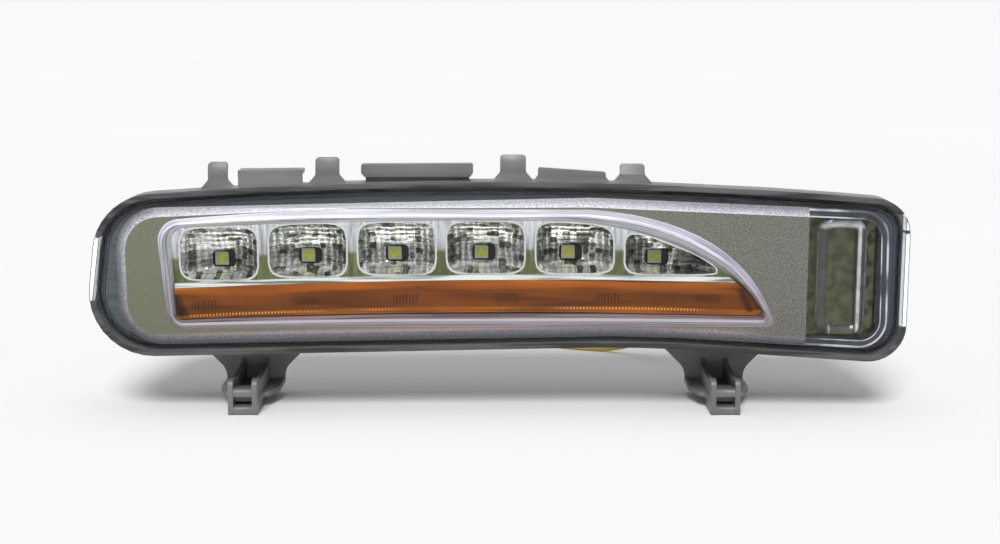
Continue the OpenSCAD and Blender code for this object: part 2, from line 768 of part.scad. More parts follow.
module reflector() {
    lifted()
        color([0.82, 0.84, 0.84]) {
            difference() {
                slab(inset(opening, -flange_w), y_reflector, y_reflector + flange_t);
                for (i = [0:cup_count - 1])
                    slab(cup_ring(i, 1, reflector_t / 2), y_reflector - 1, y_reflector + flange_t + 1);
                amber_prism(box_gap, y_reflector - 1, y_reflector + flange_t + 1);
                for (p = stakes)
                    bar(p[0], p[1], y_reflector - 1, y_reflector + flange_t + 1, stake_r + 0.2);
            }
            for (i = [0:cup_count - 1])
                cup(i);
            difference() {
                amber_prism(reflector_t, y_reflector + 0.5, y_board - 0.2);
                amber_prism(box_gap, y_amber - 1, y_amber + amber_d);
                amber_prism(-box_ledge, y_amber - 1, y_board + 1);
            }
            divider();
            difference() {
                for (x = boss_x)
                    bar(x, boss_z, y_reflector + flange_t / 2, y_board, boss_r);
                for (x = boss_x)
                    bar(x, boss_z, y_board - board_screw_l - 1, y_board + 1, board_screw_r + 0.05);
            }
        }
}
module divider() {
    steps = 20;
    low = [for (i = [0:steps]) let (x = amber_left - 4 + (amber_right + 8 - amber_left) * i / steps)
        [x, amber_top(x) + box_gap]];
    high = [for (i = [steps:-1:0]) [low[i][0], low[i][1] + divider_h - 4 * box_gap]];
    intersection() {
        slab(concat(low, high), y_amber + 0.2, y_reflector + 1);
        slab(inset(opening, fit_gap), y_amber - 1, y_reflector + 2);
    }
}

// Amber strip with vertical flutes on its back
flute_out = 4;
flute_over = 16;
flute_d = 0.9;
amber_ledge = 1.4;
module amber_lens() {
    flutes = floor((amber_right + flute_over - amber_left) / flute_pitch);
    x0 = amber_left - flute_out;
    y1 = y_amber + amber_d;
    comb = [for (i = [0:flutes])
        each [[x0 + flute_pitch * i, y1 - 0.1], [x0 + flute_pitch * (i + 0.5), y1 - flute_d]]];
    lifted()
        color([0.85, 0.4, 0.1]) {
            intersection() {
                amber_prism(0.1 - amber_ledge, y_amber, y1);
                translate([0, 0, -cut_over])
                    linear_extrude(rim_h)
                        polygon(concat([[x0 + flute_pitch * (flutes + 1), y_amber], [x0 - 1, y_amber]],
                            [[x0 - 1, y1 - flute_d / 2]], comb));
            }
            difference() {
                amber_prism(-0.05, y_amber, y1);
                amber_prism(-amber_ledge, y_amber - 1, y1 + 1);
            }
        }
}

// Clear ring that stands in the end pocket
optic_in = [33.2, 15.2];
optic_z = [4, 47.4];
optic_r = 5.6;
optic_w = 3.7;
optic_round = 1.4;
optic_path = box_path(half - optic_in[0], optic_z[0], half - optic_in[1], optic_z[1], optic_r);
module end_optic() {
    y0 = y_bezel + pocket_d;
    y1 = y_face + lens_t + box_gap;
    y2 = y1 + optic_round;
    w = optic_w;
    r = optic_round;
    lifted()
        color([0.8, 0.85, 0.8, 0.4])
            ring_loft(optic_path, [[0, y0], [0, y2], [0.36 * r, y1 + 0.36 * r], [r, y1], [w - r, y1],
                [w - 0.36 * r, y1 + 0.36 * r], [w, y2], [w, y0]]);
}

// Circuit board behind the reflector, with a row of white and a row of amber LEDs
module led_board() {
    lifted()
        color([0.2, 0.36, 0.24])
            difference() {
                slab(inset(opening, 2 * fit_gap), y_board, y_board + board_t);
                for (x = boss_x)
                    bar(x, boss_z, y_board - 1, y_board + board_t + 1, board_screw_r + 0.45);
            }
}
led_mark = 0.6;
led_dish = 0.15;
led_glow = 3.6;
module white_led(i) {
    s = led_side / 2;
    x = led_x(i);
    z = led_z(i);
    lifted()
        color([0.8, 0.8, 0.72])
            difference() {
                slab([[x - s, z - s], [x + s, z - s], [x + s, z + s - led_mark], [x + s - led_mark, z + s],
                    [x - s, z + s]], y_board - led_t, y_board);
                slab(box_path(x - led_glow / 2, z - led_glow / 2, x + led_glow / 2, z + led_glow / 2, 0.5),
                    y_board - led_t - 0.5, y_board - led_t + led_dish);
            }
}
turn_w = 3.5;
turn_h = 2.8;
module amber_led(i) {
    lifted()
        color([0.75, 0.5, 0.2])
            translate([turn_x(i) - turn_w / 2, y_board - led_t, turn_z - turn_h / 2])
                cube([turn_w, led_t, turn_h]);
}

// Screws: pan head at y0, shaft towards the lens
module screw(x, z, y0, r, h, shaft, length) {
    difference() {
        union() {
            bar(x, z, y0, y0 + h, r);
            bar(x, z, y0 - length, y0 + 0.1, shaft);
        }
        for (a = [0, 90])
            translate([x, y0 + h, z])
                rotate([0, a, 0])
                    translate([-r * 0.6, -h * 0.45, -0.3])
                        cube([r * 1.2, h, 0.6]);
    }
}
board_head = [2, 1.3];
module board_screws() {
    lifted()
        color("silver")
            for (x = boss_x)
                screw(x, boss_z, y_board + board_t, board_head[0], board_head[1], board_screw_r,
                    board_screw_l);
}
seal_t = 0.8;
module bezel_screws() {
    lifted()
        color("silver")
            for (i = [0:3])
                screw(pillar_x[i], pillar_z[i], y_pillar + well_floor + seal_t, head_r, head_h,
                    screw_r - 0.3, screw_l);
}
module screw_seals() {
    lifted()
        color([0.1, 0.1, 0.1])
            difference() {
                wells(head_r, y_pillar + well_floor, y_pillar + well_floor + seal_t);
                wells(screw_r, y_pillar, y_pillar + well_d);
            }
}

// Driver board on its posts, with its parts on the side that faces the lens
driver_w = 64;
driver_z = [16, 42];
driver_hole_r = 1;
module driver_board() {
    lifted()
        color([0.16, 0.3, 0.2])
            difference() {
                slab(box_path(-driver_w / 2, driver_z[0], driver_w / 2, driver_z[1], 1.5), y_driver,
                    y_driver + board_t);
                for (x = post_x)
                    bar(x, post_z, y_driver - 1, y_driver + board_t + 1, driver_hole_r);
            }
}
coil_at = [-10, 30];
coil_r = [4.5, 3.6];
coil_h = 5;
coil_rim = 1;
module driver_coil() {
    lifted()
        color([0.25, 0.25, 0.25])
            difference() {
                bar(coil_at[0], coil_at[1], y_driver - coil_h, y_driver, coil_r[0]);
                difference() {
                    bar(coil_at[0], coil_at[1], y_driver - coil_h + coil_rim, y_driver - coil_rim,
                        coil_r[0] + 1);
                    bar(coil_at[0], coil_at[1], y_driver - coil_h, y_driver, coil_r[1]);
                }
            }
}
can_at = [5, 32];
can_r = 3.15;
can_h = 6;
can_base = 3.3;
module driver_capacitor() {
    lifted()
        color([0.3, 0.3, 0.34]) {
            bar(can_at[0], can_at[1], y_driver - can_h, y_driver, can_r);
            slab(box_path(can_at[0] - can_base, can_at[1] - can_base, can_at[0] + can_base,
                can_at[1] + can_base, 0.8),
                y_driver - 1, y_driver);
        }
}
chip_at = [14.5, 29.1];
chip_size = [5, 6.2, 1.5];
chip_leg = [1.2, 0.6, 0.5];
chip_pitch = 1.4;
module driver_chip() {
    x = chip_size[0] / 2;
    z = chip_size[1] / 2;
    lifted()
        color([0.12, 0.12, 0.12]) {
            slab(box_path(chip_at[0] - x, chip_at[1] - z, chip_at[0] + x, chip_at[1] + z, 0.3),
                y_driver - chip_size[2] - 0.2, y_driver - 0.2);
            for (s = [-1, 1], k = [0:3])
                translate([chip_at[0] + s * (x + 0.5) - chip_leg[0] / 2, y_driver - chip_leg[1],
                    chip_at[1] + (k - 1.5) * chip_pitch - chip_leg[2] / 2])
                    cube(chip_leg);
        }
}
terminal_at = [24, 21.3];
terminal_size = [8, 4.6, 4.4];
terminal_hole = 2.6;
terminal_pitch = 3.3;
module driver_terminal() {
    x = terminal_size[0] / 2;
    z = terminal_size[1] / 2;
    lifted()
        color([0.9, 0.9, 0.85])
            difference() {
                slab(box_path(terminal_at[0] - x, terminal_at[1] - z, terminal_at[0] + x,
                    terminal_at[1] + z, 0.4),
                    y_driver - terminal_size[2], y_driver);
                for (k = [-1, 1])
                    translate([terminal_at[0] + k * terminal_pitch / 2 - terminal_hole / 2,
                        y_driver - terminal_hole - 1, terminal_at[1] - z - 1])
                        cube([terminal_hole, terminal_hole, z + 1.7]);
            }
}

// Tube of radius r along a route, with n sides
function cubic(a, b, c, d, t) = 0.5 * (2 * b + (c - a) * t + (2 * a - 5 * b + 4 * c - d) * t * t
    + (3 * b - a - 3 * c + d) * t * t * t);
function smooth(p, n) = let (m = len(p) - 1) concat(
    [for (i = [0:m - 1], k = [0:n - 1])
        cubic(p[max(i - 1, 0)], p[i], p[i + 1], p[min(i + 2, m)], k / n)], [p[m]]);
module tube(p, r, first, last, n = 8) {
    m = len(p) - 1;
    dirs = [for (i = [0:m]) i == 0 ? first : i == m ? last : unit(p[i + 1] - p[i - 1])];
    sides = [for (d = dirs) unit(cross(d, abs(d.z) > 0.95 ? [0, 1, 0] : [0, 0, 1]))];
    rings = [for (i = [0:m], k = [0:n - 1]) let (a = 360 * (k + 0.5) / n)
        p[i] + r * (cos(a) * sides[i] + sin(a) * cross(sides[i], dirs[i]))];
    walls = [for (i = [0:m - 1], k = [0:n - 1]) let (a = i * n, b = a + n, j = (k + 1) % n)
        each [[a + k, a + j, b + j], [a + k, b + j, b + k]]];
    polyhedron(points = rings,
        faces = concat(walls, [[for (k = [n - 1:-1:0]) k], [for (k = [0:n - 1]) m * n + k]]));
}
feed_r = 0.8;
feed_low = [16, 12, 11];
grommet_lip = 1.6;
y_inlet = y_tray - tray_wall - grommet_lip;
module feed_wire() {
    x = terminal_at[0] - terminal_pitch / 2;
    y = y_driver - 1 - terminal_hole / 2;
    z = foot_h + inlet_z;
    color([0.85, 0.75, 0.15])
        tube(smooth([[x, y, foot_h + terminal_at[1] - 1.6], [x, y, foot_h + feed_low[0]], [x + 5, y,
            foot_h + feed_low[1]],
            [x + 16, y - 0.5, foot_h + feed_low[2]], [inlet_x - 40, y_inlet - 6, foot_h + feed_low[1]],
            [inlet_x - 22, y_inlet - 7, foot_h + feed_low[0]], [inlet_x - 9, y_inlet - 7, z - 0.8],
            [inlet_x - 2.6, y_inlet - 5.2, z - 0.1], [inlet_x - 0.2, y_inlet - 2.2, z], [inlet_x,
                y_inlet + 0.6, z],
            [inlet_x, y_tray, z], [inlet_x, y_back, z]], 3), feed_r, [0, 0, -1], [0, 1, 0]);
}
pair_r = 0.6;
pair_pitch = 3;
pair_x = -2;
pair_z = [20, 24, 27];
module board_wires() {
    y0 = y_board + board_t;
    color([0.7, 0.12, 0.1])
        for (k = [0:1])
            let (x = pair_x + k * pair_pitch)
                tube(smooth([[x, y_driver, foot_h + pair_z[0]], [x, y_driver - 3, foot_h + pair_z[0]],
                    [x + 1, (y_driver + y0) / 2, foot_h + pair_z[1]], [x, y0 + 2.5, foot_h + pair_z[2]],
                    [x, y0, foot_h + pair_z[2]]], 3), pair_r, [0, -1, 0], [0, -1, 0]);
}

// Breather on the back
module vent_cap() {
    lifted()
        color([0.15, 0.15, 0.16])
            translate([vent_x, y_tray, vent_z])
                rotate([-90, 0, 0])
                    rotate_extrude($fn = 48)
                        polygon([[0, 0], [vent_cap_r, 0], [vent_cap_r, rib_h - 0.6], [vent_cap_r - 0.6,
                            rib_h], [0, rib_h]]);
}

// Rubber grommet of the inlet, with a tapered tail round the lead
tail_l = 9;
grommet_r = [4.9, 5.2, 5.4, 3.4, 2];
lead_bore_r = lead_d / 2 + 0.1;
lead_exit = y_tray + tail_l;
module wire_grommet() {
    lifted()
        color([0.12, 0.12, 0.12])
            translate([inlet_x, y_tray, inlet_z])
                rotate([-90, 0, 0])
                    rotate_extrude($fn = 48)
                        polygon([[lead_bore_r, -tray_wall - grommet_lip], [grommet_r[0],
                            -tray_wall - grommet_lip],
                            [grommet_r[1], -tray_wall], [inlet_r, -tray_wall], [inlet_r, 0],
                                [grommet_r[2], 0],
                            [grommet_r[2], 1.2], [grommet_r[3], 1.8], [grommet_r[4], tail_l],
                                [lead_bore_r, tail_l]]);
}

// Lead: free stretch to the ground, a hank of two turns, its tie, and a bullet connector
hank_x = -25;
hank_y = 111.6;
hank_run = 34;
hank_r = 6.3;
hank_low = 0.5;
hank_turns = 2;
hank_rise = 2.05;
hank_over = 20;
route = [
    [inlet_x, y_back, foot_h + inlet_z], [inlet_x, lead_exit, foot_h + inlet_z], [inlet_x, lead_exit + 8,
        45.8],
    [95.6, 44, 44.2], [94, 51.5, 40.8], [91.2, 57.5, 36], [87.4, 62, 30.4], [82.8, 65, 24.6], [77.6,
        66.8, 19.2],
    [72, 67.6, 14.4], [66, 68.2, 10.2], [60, 69.4, 6.8], [54.2, 71.6, 4.1], [49.2, 74.8, 2.2], [44.8,
        78.4, 1.3],
    [40.4, 82, 1], [36, 85.6, 1], [31.4, 89.2, 1], [26.2, 92.8, 1], [20.6, 96.6, 1], [15.4, 100.5, 1],
    [9.8, 103.6, 1.1], [4.4, 105, 1.3], [-0.2, 105.3, 1.5], [-4.4, 105.3, 1.5]
];
module lead() {
    color([0.85, 0.75, 0.15])
        difference() {
            tube(route, lead_d / 2, [0, 1, 0], [-1, 0, 0]);
            hank_shape(lead_d / 2, -1, hank_h + 2);
        }
}
hank_h = hank_turns * hank_rise + lead_d;
module hank_shape(grow, y0, y1) {
    translate([hank_x, hank_y, y0])
        linear_extrude(y1 - y0)
            union() {
                square([hank_run, 2 * (hank_r + grow)], center = true);
                for (s = [-1, 1])
                    translate([s * hank_run / 2, 0])
                        circle(r = hank_r + grow, $fn = 64);
            }
}
module lead_hank() {
    color([0.85, 0.75, 0.15])
        difference() {
            hank_shape(lead_d / 2, hank_low, hank_low + hank_h);
            translate([hank_x - tie_w / 2, hank_y - hank_over, hank_low - 1])
                cube([tie_w, 2 * hank_over, 1]);
        }
}
tie_w = 4;
tie_t = 0.5;
module hank_tie() {
    color([0.1, 0.1, 0.1])
        intersection() {
            difference() {
                hank_shape(lead_d / 2 + tie_t, hank_low - tie_t, hank_low + hank_h + tie_t);
                hank_shape(lead_d / 2, hank_low, hank_low + hank_h);
            }
            translate([hank_x - tie_w / 2, hank_y - hank_over, -1])
                cube([tie_w, 2 * hank_over, hank_h + 4]);
        }
}

plug_in = 16;
plug_x = hank_x - hank_run / 2 - plug_in;
plug_y = hank_y - hank_r;
plug_z = 3.4;
plug_l = 18;
plug_r = [2.9, 3.4, 2.2];
plug_socket = 7;
module lead_tail() {
    z1 = hank_low + hank_h - lead_d / 2;
    x0 = hank_x - hank_run / 2 - 3.6;
    color([0.85, 0.75, 0.15])
        difference() {
            tube([[x0, plug_y, z1], [x0 - 3.4, plug_y, z1 - 0.4], [x0 - 8, plug_y, plug_z + 0.4],
                [plug_x, plug_y, plug_z]], lead_d / 2, [-1, 0, 0], [-1, 0, 0]);
            hank_shape(lead_d / 2, -1, hank_h + 2);
        }
}
module plug_bar(x0, x1, r) {
    translate([x0, plug_y, plug_z])
        rotate([0, -90, 0])
            cylinder(r = r, h = x0 - x1, $fn = 48);
}
module connector() {
    color([0.88, 0.88, 0.84])
        difference() {
            union() {
                plug_bar(plug_x, plug_x - plug_l, plug_r[0]);
                plug_bar(plug_x - 3, plug_x - 5, plug_r[1]);
                plug_bar(plug_x - plug_l + 2, plug_x - plug_l, plug_r[1]);
            }
            plug_bar(plug_x - plug_l + plug_socket, plug_x - plug_l - 1, plug_r[2]);
        }
}
pin_profile = [
    [0, 0], [1.9, 0], [1.9, 9], [1.5, 10], [1.5, 10.6], [1.9, 11.4], [1.6, 13], [0.8, 14], [0, 14]
];
module connector_pin() {
    color([0.78, 0.62, 0.25])
        translate([plug_x - plug_l + plug_socket, plug_y, plug_z])
            rotate([0, -90, 0])
                rotate_extrude($fn = 48)
                    polygon(pin_profile);
}

housing();
lens();
seal_bead();
bezel();
reflector();
amber_lens();
end_optic();
led_board();
for (i = [0:cup_count - 1])
    white_led(i);
for (i = [0:cup_count - 1])
    amber_led(i);
board_screws();
bezel_screws();
screw_seals();
driver_board();
driver_coil();
driver_capacitor();
driver_chip();
driver_terminal();
feed_wire();
board_wires();
vent_cap();
wire_grommet();
lead();
lead_hank();
hank_tie();
lead_tail();
connector();
connector_pin();
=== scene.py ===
"""Daytime running light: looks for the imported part, in the part's own frame and in metres."""

import math

import bpy
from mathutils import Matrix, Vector


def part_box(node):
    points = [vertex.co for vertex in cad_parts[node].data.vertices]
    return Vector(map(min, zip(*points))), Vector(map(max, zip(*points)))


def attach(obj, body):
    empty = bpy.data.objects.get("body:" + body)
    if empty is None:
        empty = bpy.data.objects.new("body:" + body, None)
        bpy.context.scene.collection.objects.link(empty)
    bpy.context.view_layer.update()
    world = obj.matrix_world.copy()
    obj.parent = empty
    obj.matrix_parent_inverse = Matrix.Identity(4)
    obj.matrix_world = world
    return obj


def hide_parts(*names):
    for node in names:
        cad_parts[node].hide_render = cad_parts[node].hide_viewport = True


bl_info = {
    "name": "Daytime running light",
    "version": (1, 0, 0),
    "blender": (4, 5, 0),
    "location": "View3D > Sidebar > Lamp",
    "description": "Dresses the packed daytime running light with its finishes and lead",
    "category": "Object",
}

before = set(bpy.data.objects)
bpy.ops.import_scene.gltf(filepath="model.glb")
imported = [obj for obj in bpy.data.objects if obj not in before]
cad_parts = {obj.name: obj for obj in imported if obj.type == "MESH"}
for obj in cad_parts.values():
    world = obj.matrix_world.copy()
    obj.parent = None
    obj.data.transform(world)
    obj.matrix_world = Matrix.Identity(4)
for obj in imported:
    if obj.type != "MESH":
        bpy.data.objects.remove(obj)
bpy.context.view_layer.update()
MM = 0.001

# Height of the lower edge of the rim over the ground
FOOT_H = 26.3 * MM

# The lens: its clear window stands before the frosted face, and its bevel runs back from that face
LENS_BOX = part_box("lens")
LENS_FRONT = LENS_BOX[0].y
LENS_FACE = LENS_FRONT + 1.0 * MM
LENS_EDGE = LENS_FRONT + 2.2 * MM
EAR_RIGHT = LENS_BOX[1].x - 1.75 * MM
EAR_LEFT = Vector((-151.91 * MM, 0, FOOT_H - 4.2 * MM))
EAR_LEAN = Vector((65.2, 0, -9.54)).normalized()
# Width of the painted dark edge line around the ears
EAR_BORDER = 0.25 * MM
# Heights between which the edges of the lens are painted from darker to lighter
EDGE_Z = (27.5 * MM, 77.5 * MM)

# Front plane of the reflector, and the region of the window before it
Y_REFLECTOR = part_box("bezel")[0].y + 3.8 * MM
WINDOW_X = (-126 * MM, 104 * MM)
WINDOW_Z = (FOOT_H + 6.5 * MM, FOOT_H + 49.5 * MM)

# The bow of the lamp: where it is highest, its radius at the window and at the frosted face
BOW_X = 12 * MM
WINDOW_BOW = 2.6
FROST_BOW = 3.0

# Half the length over which a finish changes from end to end
HALF_RUN = 147.06 * MM

# Pillow facets of the cups, and how many of them fit in a metre
FACET_W = 2.4 * MM
FACET_H = 2.1 * MM
FACETS_ACROSS = 417
FACETS_UP = 476

# Row of LEDs behind the amber strip
AMBER_LED_FIRST = -108.6 * MM
AMBER_LED_PITCH = 37.18 * MM

# A face looks to the front where the Y of its normal is below this
TO_FRONT = -0.9

# How near a face has to lie to the plane that it is told by
NEAR = 0.05 * MM


# Values that a user would change


class LampSizes(bpy.types.PropertyGroup):
    edge_round: bpy.props.FloatProperty(
        name="Edge round", description="Radius of the moulded edges",
        default=0.0003, min=0.00005, max=0.001, unit="LENGTH")
    frost_end: bpy.props.FloatProperty(
        name="Frost end", description="Where the frosted face of the lens ends",
        default=0.1128, unit="LENGTH")
    flute_pitch: bpy.props.FloatProperty(
        name="Flute pitch", description="Distance of the flutes on the amber strip",
        default=0.0012, unit="LENGTH")
    lead_d: bpy.props.FloatProperty(
        name="Lead diameter", description="Diameter of the yellow lead",
        default=0.002, unit="LENGTH")


class LampColours(bpy.types.PropertyGroup):
    housing: bpy.props.FloatVectorProperty(
        name="Housing", description="Grey of the housing",
        subtype="COLOR", size=3, default=(0.14, 0.144, 0.141))
    frost: bpy.props.FloatVectorProperty(
        name="Frost", description="Tone of the frosted face",
        subtype="COLOR", size=3, default=(0.165, 0.17, 0.122))
    amber: bpy.props.FloatVectorProperty(
        name="Amber", description="Colour of the amber strip",
        subtype="COLOR", size=3, default=(0.36, 0.088, 0.005))
    lead: bpy.props.FloatVectorProperty(
        name="Lead", description="Colour of the lead",
        subtype="COLOR", size=3, default=(0.6, 0.42, 0.07))


def sizes():
    return bpy.context.scene.lamp_sizes


def colours():
    return bpy.context.scene.lamp_colours


# Materials


class Finish:
    """One node material that is built up step by step."""

    def __init__(self, name, base=(0.5, 0.5, 0.5), rough=0.5, metal=0.0, **sockets):
        self.mat = bpy.data.materials.new(name)
        self.mat.use_nodes = True
        self.tree = self.mat.node_tree
        self.shader = self.tree.nodes["Principled BSDF"]
        self.out = self.tree.nodes["Material Output"]
        self.set("Base Color", (*base, 1.0))
        self.set("Roughness", rough)
        self.set("Metallic", metal)
        for key, value in sockets.items():
            self.set(key.replace("_", " "), value)
        self.place = self.node("ShaderNodeTexCoord").outputs["Object"]

    def set(self, socket, value):
        """Gives a socket of the main shader a constant."""
        self.shader.inputs[socket].default_value = value

    def node(self, kind, **values):
        """A new node, its settings and sockets given by name."""
        made = self.tree.nodes.new(kind)
        for key, value in values.items():
            if hasattr(made, key):
                setattr(made, key, value)
            else:
                made.inputs[key.replace("_", " ")].default_value = value
        return made

    def link(self, a, b):
        self.tree.links.new(a, b)

    def scaled(self, scale):
        """Object coordinates, stretched along the axes."""
        mapping = self.node("ShaderNodeMapping", Scale=scale)
        self.link(self.place, mapping.inputs["Vector"])
        return mapping.outputs["Vector"]

    def noise(self, scale, detail=3.0, rough=0.5, stretch=(1, 1, 1)):
        made = self.node("ShaderNodeTexNoise", Scale=scale, Detail=detail, Roughness=rough)
        self.link(self.scaled(stretch), made.inputs["Vector"])
        return made.outputs["Fac"]

    def cells(self, scale, stretch=(1, 1, 1)):
        made = self.node("ShaderNodeTexVoronoi", Scale=scale)
        self.link(self.scaled(stretch), made.inputs["Vector"])
        return made.outputs["Distance"]

    def ramp(self, value, *stops):
        """Colour ramp with the given stops, each a place and a grey or a colour."""
        made = self.node("ShaderNodeValToRGB")
        bar = made.color_ramp
        bar.elements.remove(bar.elements[1])
        bar.elements[0].position = stops[0][0]
        for place, colour in stops[1:]:
            bar.elements.new(place)
        for i, (place, colour) in enumerate(stops):
            shown = colour if hasattr(colour, "__len__") else (colour, colour, colour)
            bar.elements[i].color = (*shown, 1.0)
        self.link(value, made.inputs["Fac"])
        return made.outputs["Color"]

    def math(self, kind, a, b=0.0, c=None):
        made = self.node("ShaderNodeMath", operation=kind)
        for socket, value in zip(made.inputs, (a, b, c)):
            if value is None:
                continue
            if isinstance(value, (int, float)):
                socket.default_value = value
            else:
                self.link(value, socket)
        return made.outputs[0]

    def axis(self, name):
        """One of the object coordinates."""
        made = self.node("ShaderNodeSeparateXYZ")
        self.link(self.place, made.inputs[0])
        return made.outputs[name]

    def span(self, value, start, end):
        """Where a value lies between start (0) and end (1). An axis is given by its name."""
        along = self.axis(value) if isinstance(value, str) else value
        return self.math("MULTIPLY_ADD", along, 1 / (end - start), -start / (end - start))

    def over_bow(self, low, radius=WINDOW_BOW):
        """Height over a line that follows the bow of the lamp."""
        off = self.math("SUBTRACT", self.axis("X"), BOW_X)
        drop = self.math("MULTIPLY", self.math("POWER", off, 2.0), 0.5 / radius)
        return self.math("ADD", self.math("SUBTRACT", self.axis("Z"), low), drop)

    def mix(self, share, a, b, blend="MIX"):
        """Mixes two colours, each a socket, a grey or a colour."""
        made = self.node("ShaderNodeMix", data_type="RGBA", blend_type=blend)
        for socket, value in zip((made.inputs[0], made.inputs[6], made.inputs[7]), (share, a, b)):
            if isinstance(value, (int, float)):
                socket.default_value = value if socket.type == "VALUE" else (value, value, value, 1.0)
            elif hasattr(value, "__len__"):
                socket.default_value = (*value, 1.0)
            else:
                self.link(value, socket)
        return made.outputs[2]

    def times(self, tone, *others):
        """A colour multiplied by others, one after the other."""
        for other in others:
            tone = self.mix(1.0, tone, other, "MULTIPLY")
        return tone

    def blend(self, share, first, second):
        """Mixes two shaders."""
        made = self.node("ShaderNodeMixShader")
        for socket, output in zip(made.inputs, (share, first, second)):
            self.link(output, socket)
        return made.outputs[0]

    def bump(self, height, depth, distance=0.0003):
        """Adds a bump on top of those that the shader has."""
        made = self.node("ShaderNodeBump", Strength=depth, Distance=distance)
        self.link(height, made.inputs["Height"])
        if self.shader.inputs["Normal"].is_linked:
            self.link(self.shader.inputs["Normal"].links[0].from_socket, made.inputs["Normal"])
        self.link(made.outputs["Normal"], self.shader.inputs["Normal"])

    def to(self, output, socket):
        """Links an output to a socket of the main shader."""
        self.link(output, self.shader.inputs[socket])


def shaded(colour, share):
    """The same colour, darker or brighter."""
    return tuple(min(1, c * share) for c in colour)


def moulded(name, colour, rough=0.45, patches=0.12, bump=0.12):
    """Moulded plastic: cloudy tone, fine grain and small scuffs."""
    made = Finish(name, colour, rough, Specular_IOR_Level=0.45)
    dark = shaded(colour, 1 - patches)
    pale = shaded(colour, 1 + patches)
    made.to(made.ramp(made.noise(60, 3), (0.3, dark), (0.7, pale)), "Base Color")
    made.to(made.ramp(made.noise(220, 4), (0.3, rough - 0.07), (0.7, rough + 0.08)), "Roughness")
    made.bump(made.noise(2600, 2), bump, 0.00008)
    return made.mat


def housing_finish(name="housing_grey", shade=1.0, shine=0.5, pale=1.03, dark=0.93):
    """Grey moulding with cloudy tone and streaks along its length. A shade below one gives a darker
    painted-shade copy of the grey, and strong pale and dark streaks paint highlight lines and shade.
    """
    colour = shaded(colours().housing, shade)
    made = Finish(name, colour, 0.42, Specular_IOR_Level=shine)
    tone = made.ramp(made.noise(45, 4), (0.3, shaded(colour, 0.86)), (0.7, shaded(colour, 1.12)))
    streak = made.ramp(made.noise(420, 3, stretch=(0.05, 1, 1)), (0.4, pale), (0.62, dark))
    made.to(made.times(tone, streak), "Base Color")
    made.to(made.ramp(made.noise(160, 4), (0.3, 0.34), (0.7, 0.5)), "Roughness")
    made.bump(made.noise(1800, 3), 0.15, 0.0001)
    return made.mat


def clear_finish(name, haze=0.005, tint=(0.97, 0.98, 0.97), mirror=0.12, lines=None):
    """Clear moulding: lets the view through, with a thin haze, a reflection, and painted highlight lines if
    given.
    """
    made = Finish(name)
    made.tree.nodes.remove(made.shader)
    through = made.node("ShaderNodeBsdfTransparent", Color=(*tint, 1.0))
    gloss = made.node("ShaderNodeBsdfAnisotropic", Color=(1, 1, 1, 1), Roughness=0.04)
    milk = made.node("ShaderNodeBsdfDiffuse", Color=(0.8, 0.8, 0.84, 1.0))
    dust = made.math("MULTIPLY", made.ramp(made.noise(140, 3), (0.35, 0.5), (0.75, 1.5)), haze)
    # Painted highlights: the lines raise the milky share, which shows them as bright lines
    if lines:
        dust = made.math("MAXIMUM", dust, lines(made))
    hazy = made.blend(dust, through.outputs[0], milk.outputs[0])
    edge = made.node("ShaderNodeFresnel", IOR=1.45)
    mirrored = made.math("MULTIPLY", edge.outputs[0], mirror)
    made.link(made.blend(mirrored, hazy, gloss.outputs[0]), made.out.inputs["Surface"])
    return made.mat


def bevel_painted_highlights(made):
    """Two painted highlight lines along the upper and lower edge of the clear bevel."""
    lines = made.ramp(
        made.span("Y", LENS_FACE, LENS_EDGE), (0.0, 0.7), (0.08, 0.7), (0.18, 0.03), (0.62, 0.03),
        (0.72, 0.7), (0.84, 0.7), (0.94, 0.05))
    return made.math("MULTIPLY", lines, made.ramp(made.noise(70, 3), (0.38, 0.12), (0.58, 1.0)))


def ring_painted_highlights(made):
    """Painted highlights: a bright top of the clear ring, and bright lines along its sides."""
    low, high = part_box("end_optic")
    top = made.ramp(made.span("Z", low.z, high.z), (0.9, 0.0), (0.935, 0.75), (0.97, 0.5), (0.99, 0.1))
    sides = made.ramp(
        made.span("X", low.x, high.x), (0.0, 0.4), (0.03, 0.05), (0.24, 0.05), (0.27, 0.45),
        (0.31, 0.05), (0.8, 0.05), (0.83, 0.85), (0.87, 0.7), (0.89, 0.06), (0.95, 0.06), (0.98, 0.4))
    blot = made.ramp(made.noise(240, 2), (0.3, 0.55), (0.6, 1.0))
    return made.math("MULTIPLY", made.math("MAXIMUM", top, sides), blot)


def frost_finish():
    """Frosted face: fine grain on an olive grey ground, coarser and darker specks towards the right end, and
    painted shade towards the bottom.
    """
    tone = tuple(colours().frost)
    made = Finish("lens_frosted", tone, 0.32, Specular_IOR_Level=0.4)
    across = made.span("X", -HALF_RUN, HALF_RUN)
    # Painted shade: darker towards the bottom of the face
    low = made.ramp(made.span("Z", 25 * MM, 80.56 * MM), (0.0, 0.84), (0.6, 1.0))
    base = made.ramp(across, (0.0, (0.15, 0.16, 0.106)), (0.35, tone), (0.86, (0.165, 0.163, 0.142)))
    fine = made.ramp(made.noise(1900, 2), (0.35, 0.86), (0.65, 1.1))
    coarse = made.ramp(made.noise(2300, 1, 0.4), (0.34, 0.4), (0.56, 1.12))
    speck = made.mix(made.ramp(across, (0.55, 0.15), (0.8, 1.0)), 1.0, coarse)
    height = made.over_bow(FOOT_H, FROST_BOW)
    rosy = made.ramp(made.span(height, 4 * MM, 14 * MM), (0.25, 1.0), (0.42, 0.0))
    inner = made.ramp(made.span("X", 150 * MM, 50 * MM), (0.5, 0.0), (0.7, 1.0))
    base = made.mix(made.math("MULTIPLY", rosy, inner), base, (0.36, 0.27, 0.27))
    made.to(made.times(base, fine, speck, low), "Base Color")
    made.bump(made.noise(1300, 2), 0.45, 0.0002)
    return made.mat


